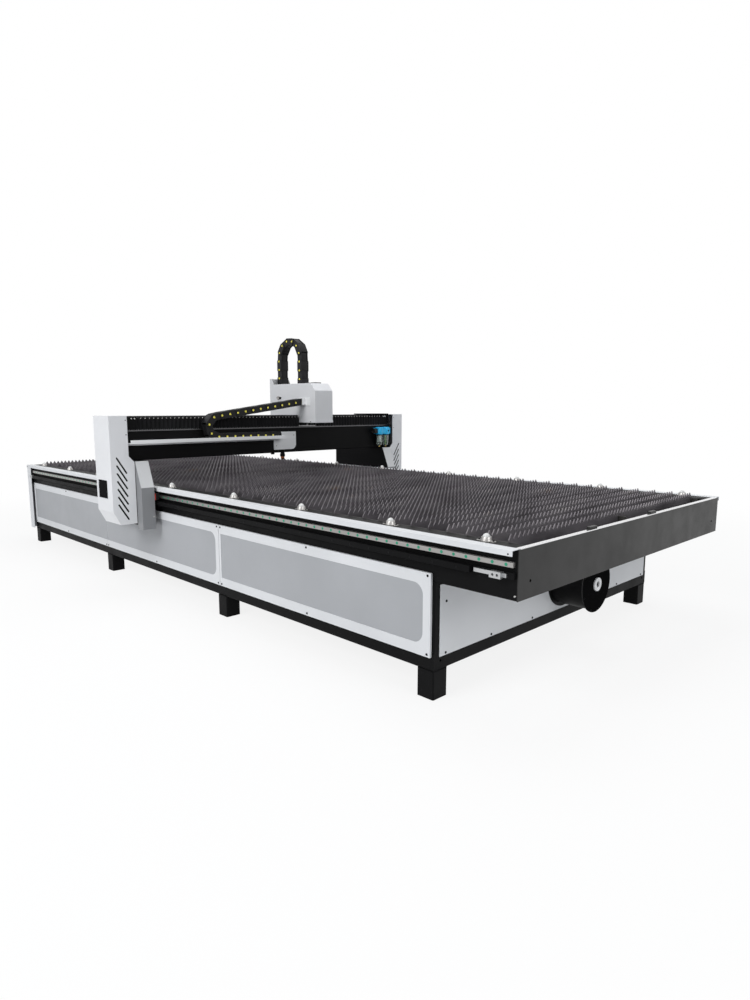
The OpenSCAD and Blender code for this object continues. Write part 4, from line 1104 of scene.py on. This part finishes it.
draw_block(bm, (STRIP_X[0], STRIP_Y[0], COVER_TOP), (STRIP_X[1], STRIP_Y[1], COVER_TOP + STRIP_T),
           STRIP_SOFT)
add_piece("cover_strip", bm, ["knob_black"], "carriage")
print("cover rim", round(cover_high.x - cover_low.x, 3), "m long")

# %% [markdown]
# ## Air unit
# The pressure knob is a ribbed cap: every other face of a cone's wall is inset and pulled out,
# which gives ribs that end below the rim, as moulded ones do.

# %% Pressure knob
KNOB_R, KNOB_TAPER, KNOB_L, SPINDLE_R = mm(21, 1.5, 34, 8)
RIB_EDGE, RIB_RISE, END_RIM, END_SLOPE, END_DISH = mm(0.4, 1, 3, 1, 1.5)
knob_low, knob_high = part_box("air_knob")
knob_mid = mid("air_knob")
spindle_l = knob_high.y - knob_low.y - KNOB_L
bm = bmesh.new()
draw_cone(bm, 48, KNOB_R, KNOB_R - KNOB_TAPER, KNOB_L)
walls = [f for f in bm.faces if len(f.verts) == 4]
walls.sort(key=lambda f: math.atan2(f.calc_center_median().y, f.calc_center_median().x))
bmesh.ops.inset_individual(bm, faces=walls[::2], thickness=RIB_EDGE, depth=RIB_RISE)
sink_top(bm, END_RIM, END_SLOPE, END_DISH)
spindle = draw_cone(bm, 16, SPINDLE_R, SPINDLE_R, spindle_l)
move(bm, spindle, (0, 0, -(KNOB_L + spindle_l) / 2))
turn_to(bm, (0, -1, 0))
shift(bm, (knob_mid.x, knob_low.y + KNOB_L / 2, knob_mid.z))
knob = add_piece("pressure_knob", bm, ["knob_black"], "air_knob", 30)
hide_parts("air_knob")
print("knob ribs", len(walls) // 2)

# %% [markdown]
# A bowl is a short profile spun round its axis, merged at the pole and given a wall, and inside it
# stand the white filter element and the green feed tube that the photograph shows. All turned
# parts are such profiles, as (radius, height) in millimetres below the unit.

# %% Filter bowls
BOWL_WALL, COLLAR_WALL, BOWL_OFF, PLUG_IN, PLUG_SUNK = mm(2.5, 1.2, 38, 29, 1)
BOWL = [(26, 0), (26, -76), (24.6, -86), (20, -94), (11, -98), (0, -98)]
COLLAR = [(22, -0.2), (28.5, -0.2), (28.5, -7), (26.2, -8.5)]
ELEMENT = [(0, -6), (13, -6), (14, -9), (14, -56), (16, -58), (16, -61), (7, -66), (0, -66)]
FEED_TUBE = [(0, -4), (4, -4), (4, -12), (5.5, -13), (5.5, -84), (4, -88), (0, -88)]
DRAIN = [(0, -96), (10, -96), (10, -100), (7, -101), (7, -105), (4, -107.5), (0, -107.5)]
bowl_low, bowl_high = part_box("air_bowls")
air_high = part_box("air_unit")[1]


def draw_turned(bm, profile, steps):
    """Spins a profile of (radius, height) in millimetres round Z."""
    points = [bm.verts.new((r * MM, 0, z * MM)) for r, z in profile]
    edges = [bm.edges.new(pair) for pair in zip(points, points[1:])]
    bmesh.ops.spin(bm, geom=points + edges, cent=(0, 0, 0), axis=(0, 0, 1), dvec=(0, 0, 0),
                   angle=2 * math.pi, steps=steps, use_merge=True)
    bmesh.ops.remove_doubles(bm, verts=bm.verts[:], dist=1e-6)
    bmesh.ops.recalc_face_normals(bm, faces=bm.faces[:])


def add_turned(name, profile, steps, places, finish, wall=0):
    bm = bmesh.new()
    draw_turned(bm, profile, steps)
    if wall:
        bmesh.ops.solidify(bm, geom=bm.faces[:], thickness=wall)
    copy_to(bm, places)
    return add_piece(name, bm, [finish], "gantry", 40)


bowl_mid = Vector((*mid("air_bowls").xy, bowl_high.z))
bowl_places = [bowl_mid + Vector((0, s * BOWL_OFF, 0)) for s in (-1, 1)]
bowls = add_turned("filter_bowls", BOWL, 32, bowl_places, "bowl_clear", BOWL_WALL)
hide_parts("air_bowls")
add_turned("bowl_collars", COLLAR, 32, bowl_places, "knob_black", COLLAR_WALL)
add_turned("filter_element", ELEMENT, 24, bowl_places[:1], "filter_white")
add_turned("feed_tube", FEED_TUBE, 20, bowl_places[1:], "tube_green")
add_turned("bowl_drains", DRAIN, 24, bowl_places, "drain_brass")
add_screws("air_plugs", "plug",
           [(air_high.x - PLUG_SUNK, air_high.y - PLUG_IN, mid("air_unit").z)],
           (1, 0, 0), "gantry")
print("bowl box", [round(c, 3) for c in bowl_low], [round(c, 3) for c in bowl_high])

# %% [markdown]
# ## Ends of the table
# A bright metal strip lies on the apron's fold, in front of the slat points, and a low lip runs along its
# front; its brightness is a painted reflection, standing in for the white that the fold's glossy top
# reflects. Two blocks that overlap read as one folded strip.

# %% Apron strip
APRON_TOP, TRIM_T, TRIM_IN, TRIM_OUT, TRIM_END = mm(697, 1.5, 29, 1, 53)
LIP_T, LIP_H, TRIM_SOFT = mm(1.5, 5, 0.5)
STRIP_SCREW_IN, STRIP_SCREW_UP = mm(18, 8)
apron_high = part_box("end_apron")[1]
strip_low, strip_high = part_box("edge_strips")
trim_y = strip_high.y - TRIM_END
bm = bmesh.new()
for inner, height in ((TRIM_IN, TRIM_T), (TRIM_OUT + LIP_T, LIP_H)):
    draw_block(bm, (apron_high.x - inner, -trim_y, APRON_TOP),
               (apron_high.x - TRIM_OUT, trim_y, APRON_TOP + height), TRIM_SOFT)
add_piece("apron_strip", bm, ["edge_bright"], "table")
add_screws("strip_screws", "small",
           [(s * (strip_high.x - STRIP_SCREW_IN), -strip_high.y, strip_low.z + STRIP_SCREW_UP)
            for s in (-1, 1)], (0, -1, 0), "table")
print("apron strip", round(2 * trim_y, 3), "m")

# %% [markdown]
# The duct's end plate is bolted round its edge, and the apron and the side beams share a bolt at
# each lower corner.

# %% Duct and apron bolts
DUCT_BOLTS, BOLT_IN = 8, 11 * MM
CORNER_X, CORNER_Y, CORNER_Z = mm(2587, 1020, 524)
duct_low, duct_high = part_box("duct_end_plate")
duct_mid = mid("duct_end_plate")
bolt_r = (duct_high.y - duct_low.y) / 2 - BOLT_IN
bolt_turns = [(k + 0.5) * 2 * math.pi / DUCT_BOLTS for k in range(DUCT_BOLTS)]
add_screws("duct_bolts", "duct",
           [(duct_high.x, duct_mid.y + bolt_r * math.sin(a), duct_mid.z + bolt_r * math.cos(a))
            for a in bolt_turns], (1, 0, 0), "table")
for side, out in OUTWARDS.items():
    add_screws("corner_bolts_" + side, "corner", [(CORNER_X, out * CORNER_Y, CORNER_Z)],
               (0, out, 0), "table")
print("duct bolts", DUCT_BOLTS)

# %% [markdown]
# ## Bellows frames and chain ends
# Each bellows is held to the column by a flat frame with two screws, and the tray's end plate has
# two more.

# %% Bellows frames
FRAME_OUT, FRAME_W, FRAME_T, FRAME_DROP, FRAME_IN, FRAME_SOFT = mm(1190, 74, 2.5, 6, 1, 0.8)
FRAME_SCREWS, FRAME_SCREW_DROP = mm(40, 62), 16 * MM
CHAIN_END_IN, CHAIN_END_ZS = mm(20, 24), mm(1002, 925)
frame_face = bellows_high.x + FRAME_T
bm = bmesh.new()
frame_screws = []
for out in OUTWARDS.values():
    ys = sorted((out * FRAME_OUT, out * (FRAME_OUT - FRAME_W)))
    draw_block(bm, (bellows_high.x - FRAME_IN, ys[0], cloth_foot),
               (frame_face, ys[1], cloth_top - FRAME_DROP), FRAME_SOFT)
    frame_screws += [(frame_face, out * (FRAME_OUT - d), cloth_top - FRAME_SCREW_DROP)
                     for d in FRAME_SCREWS]
add_piece("bellows_frames", bm, ["frame_black"], "gantry")
add_screws("bellows_frame_screws", "frame", frame_screws, (1, 0, 0), "gantry")
chain_end_low, chain_end_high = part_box("chain_plate")
add_screws("chain_plate_screws", "frame",
           [(chain_end_high.x, chain_end_high.y - CHAIN_END_IN[0], CHAIN_END_ZS[0]),
            (chain_end_high.x, chain_end_low.y + CHAIN_END_IN[1], CHAIN_END_ZS[1])],
           (1, 0, 0), "gantry")
print("frame screws", len(frame_screws))

# %% [markdown]
# ## Torch
# The nozzle is a turned cup with a shoulder. A knurled cap holds it, and a ring like it marks the
# torch's neck: the wall faces of a cone are inset and lifted to make the grip.

# %% Torch nozzle and cap
CAP_H, CAP_WALL, NECK_H, NECK_DROP = mm(24, 2.5, 12, 30)
GRIP_EDGE, GRIP_RISE = mm(0.6, 0.9)
NOZZLE = [(0, 4), (3, 4), (3, 0), (6.5, 0), (8, 2), (14, 9), (15.5, 12), (15.5, 22), (13.5, 26),
          (0, 26)]
torch_low, torch_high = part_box("torch_body")
torch_mid = Vector((*mid("torch_body").xy, 0))
ring_r = (torch_high.x - torch_low.x) / 2 + CAP_WALL
bm = bmesh.new()
draw_turned(bm, NOZZLE, 32)
shift(bm, torch_mid + Vector((0, 0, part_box("torch_nozzle")[0].z)))
nozzle = add_piece("nozzle_cup", bm, ["torch_copper"], "lift", 35)
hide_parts("torch_nozzle")
bm = bmesh.new()
for z, height in ((torch_low.z + CAP_H / 2, CAP_H), (torch_high.z - NECK_DROP, NECK_H)):
    ring = draw_cone(bm, 28, ring_r, ring_r, height)
    move(bm, ring, torch_mid + Vector((0, 0, z)))
grips = [f for f in bm.faces if len(f.verts) == 4]
bmesh.ops.inset_individual(bm, faces=grips, thickness=GRIP_EDGE, depth=GRIP_RISE)
add_piece("torch_rings", bm, ["knob_black"], "lift", 30)
print("torch ring grips", len(grips))

# %% [markdown]
# Socket screws hold the lift plate to its four rail blocks, and pinch each clamp round the torch.

# %% Lift screws
BLOCK_OFF, PINCH_OFF = mm(54, 17)
BLOCK_ROWS, CLAMP_ROWS = mm(20, 50, 200, 230), mm(60, 135)
lift_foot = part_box("z_plate")[0].z
clamp_low, clamp_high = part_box("torch_clamp")
for name, kind, x, off, rows in (
        ("lift_plate_screws", "lift", clamp_high.x, BLOCK_OFF, BLOCK_ROWS),
        ("clamp_screws", "clamp", clamp_low.x, PINCH_OFF, CLAMP_ROWS)):
    add_screws(name, kind, [(x, torch_mid.y + s * off, lift_foot + z)
                            for s in (-1, 1) for z in rows], (-1, 0, 0), "lift")
print("lift screws", 2 * len(BLOCK_ROWS) + 2 * len(CLAMP_ROWS))
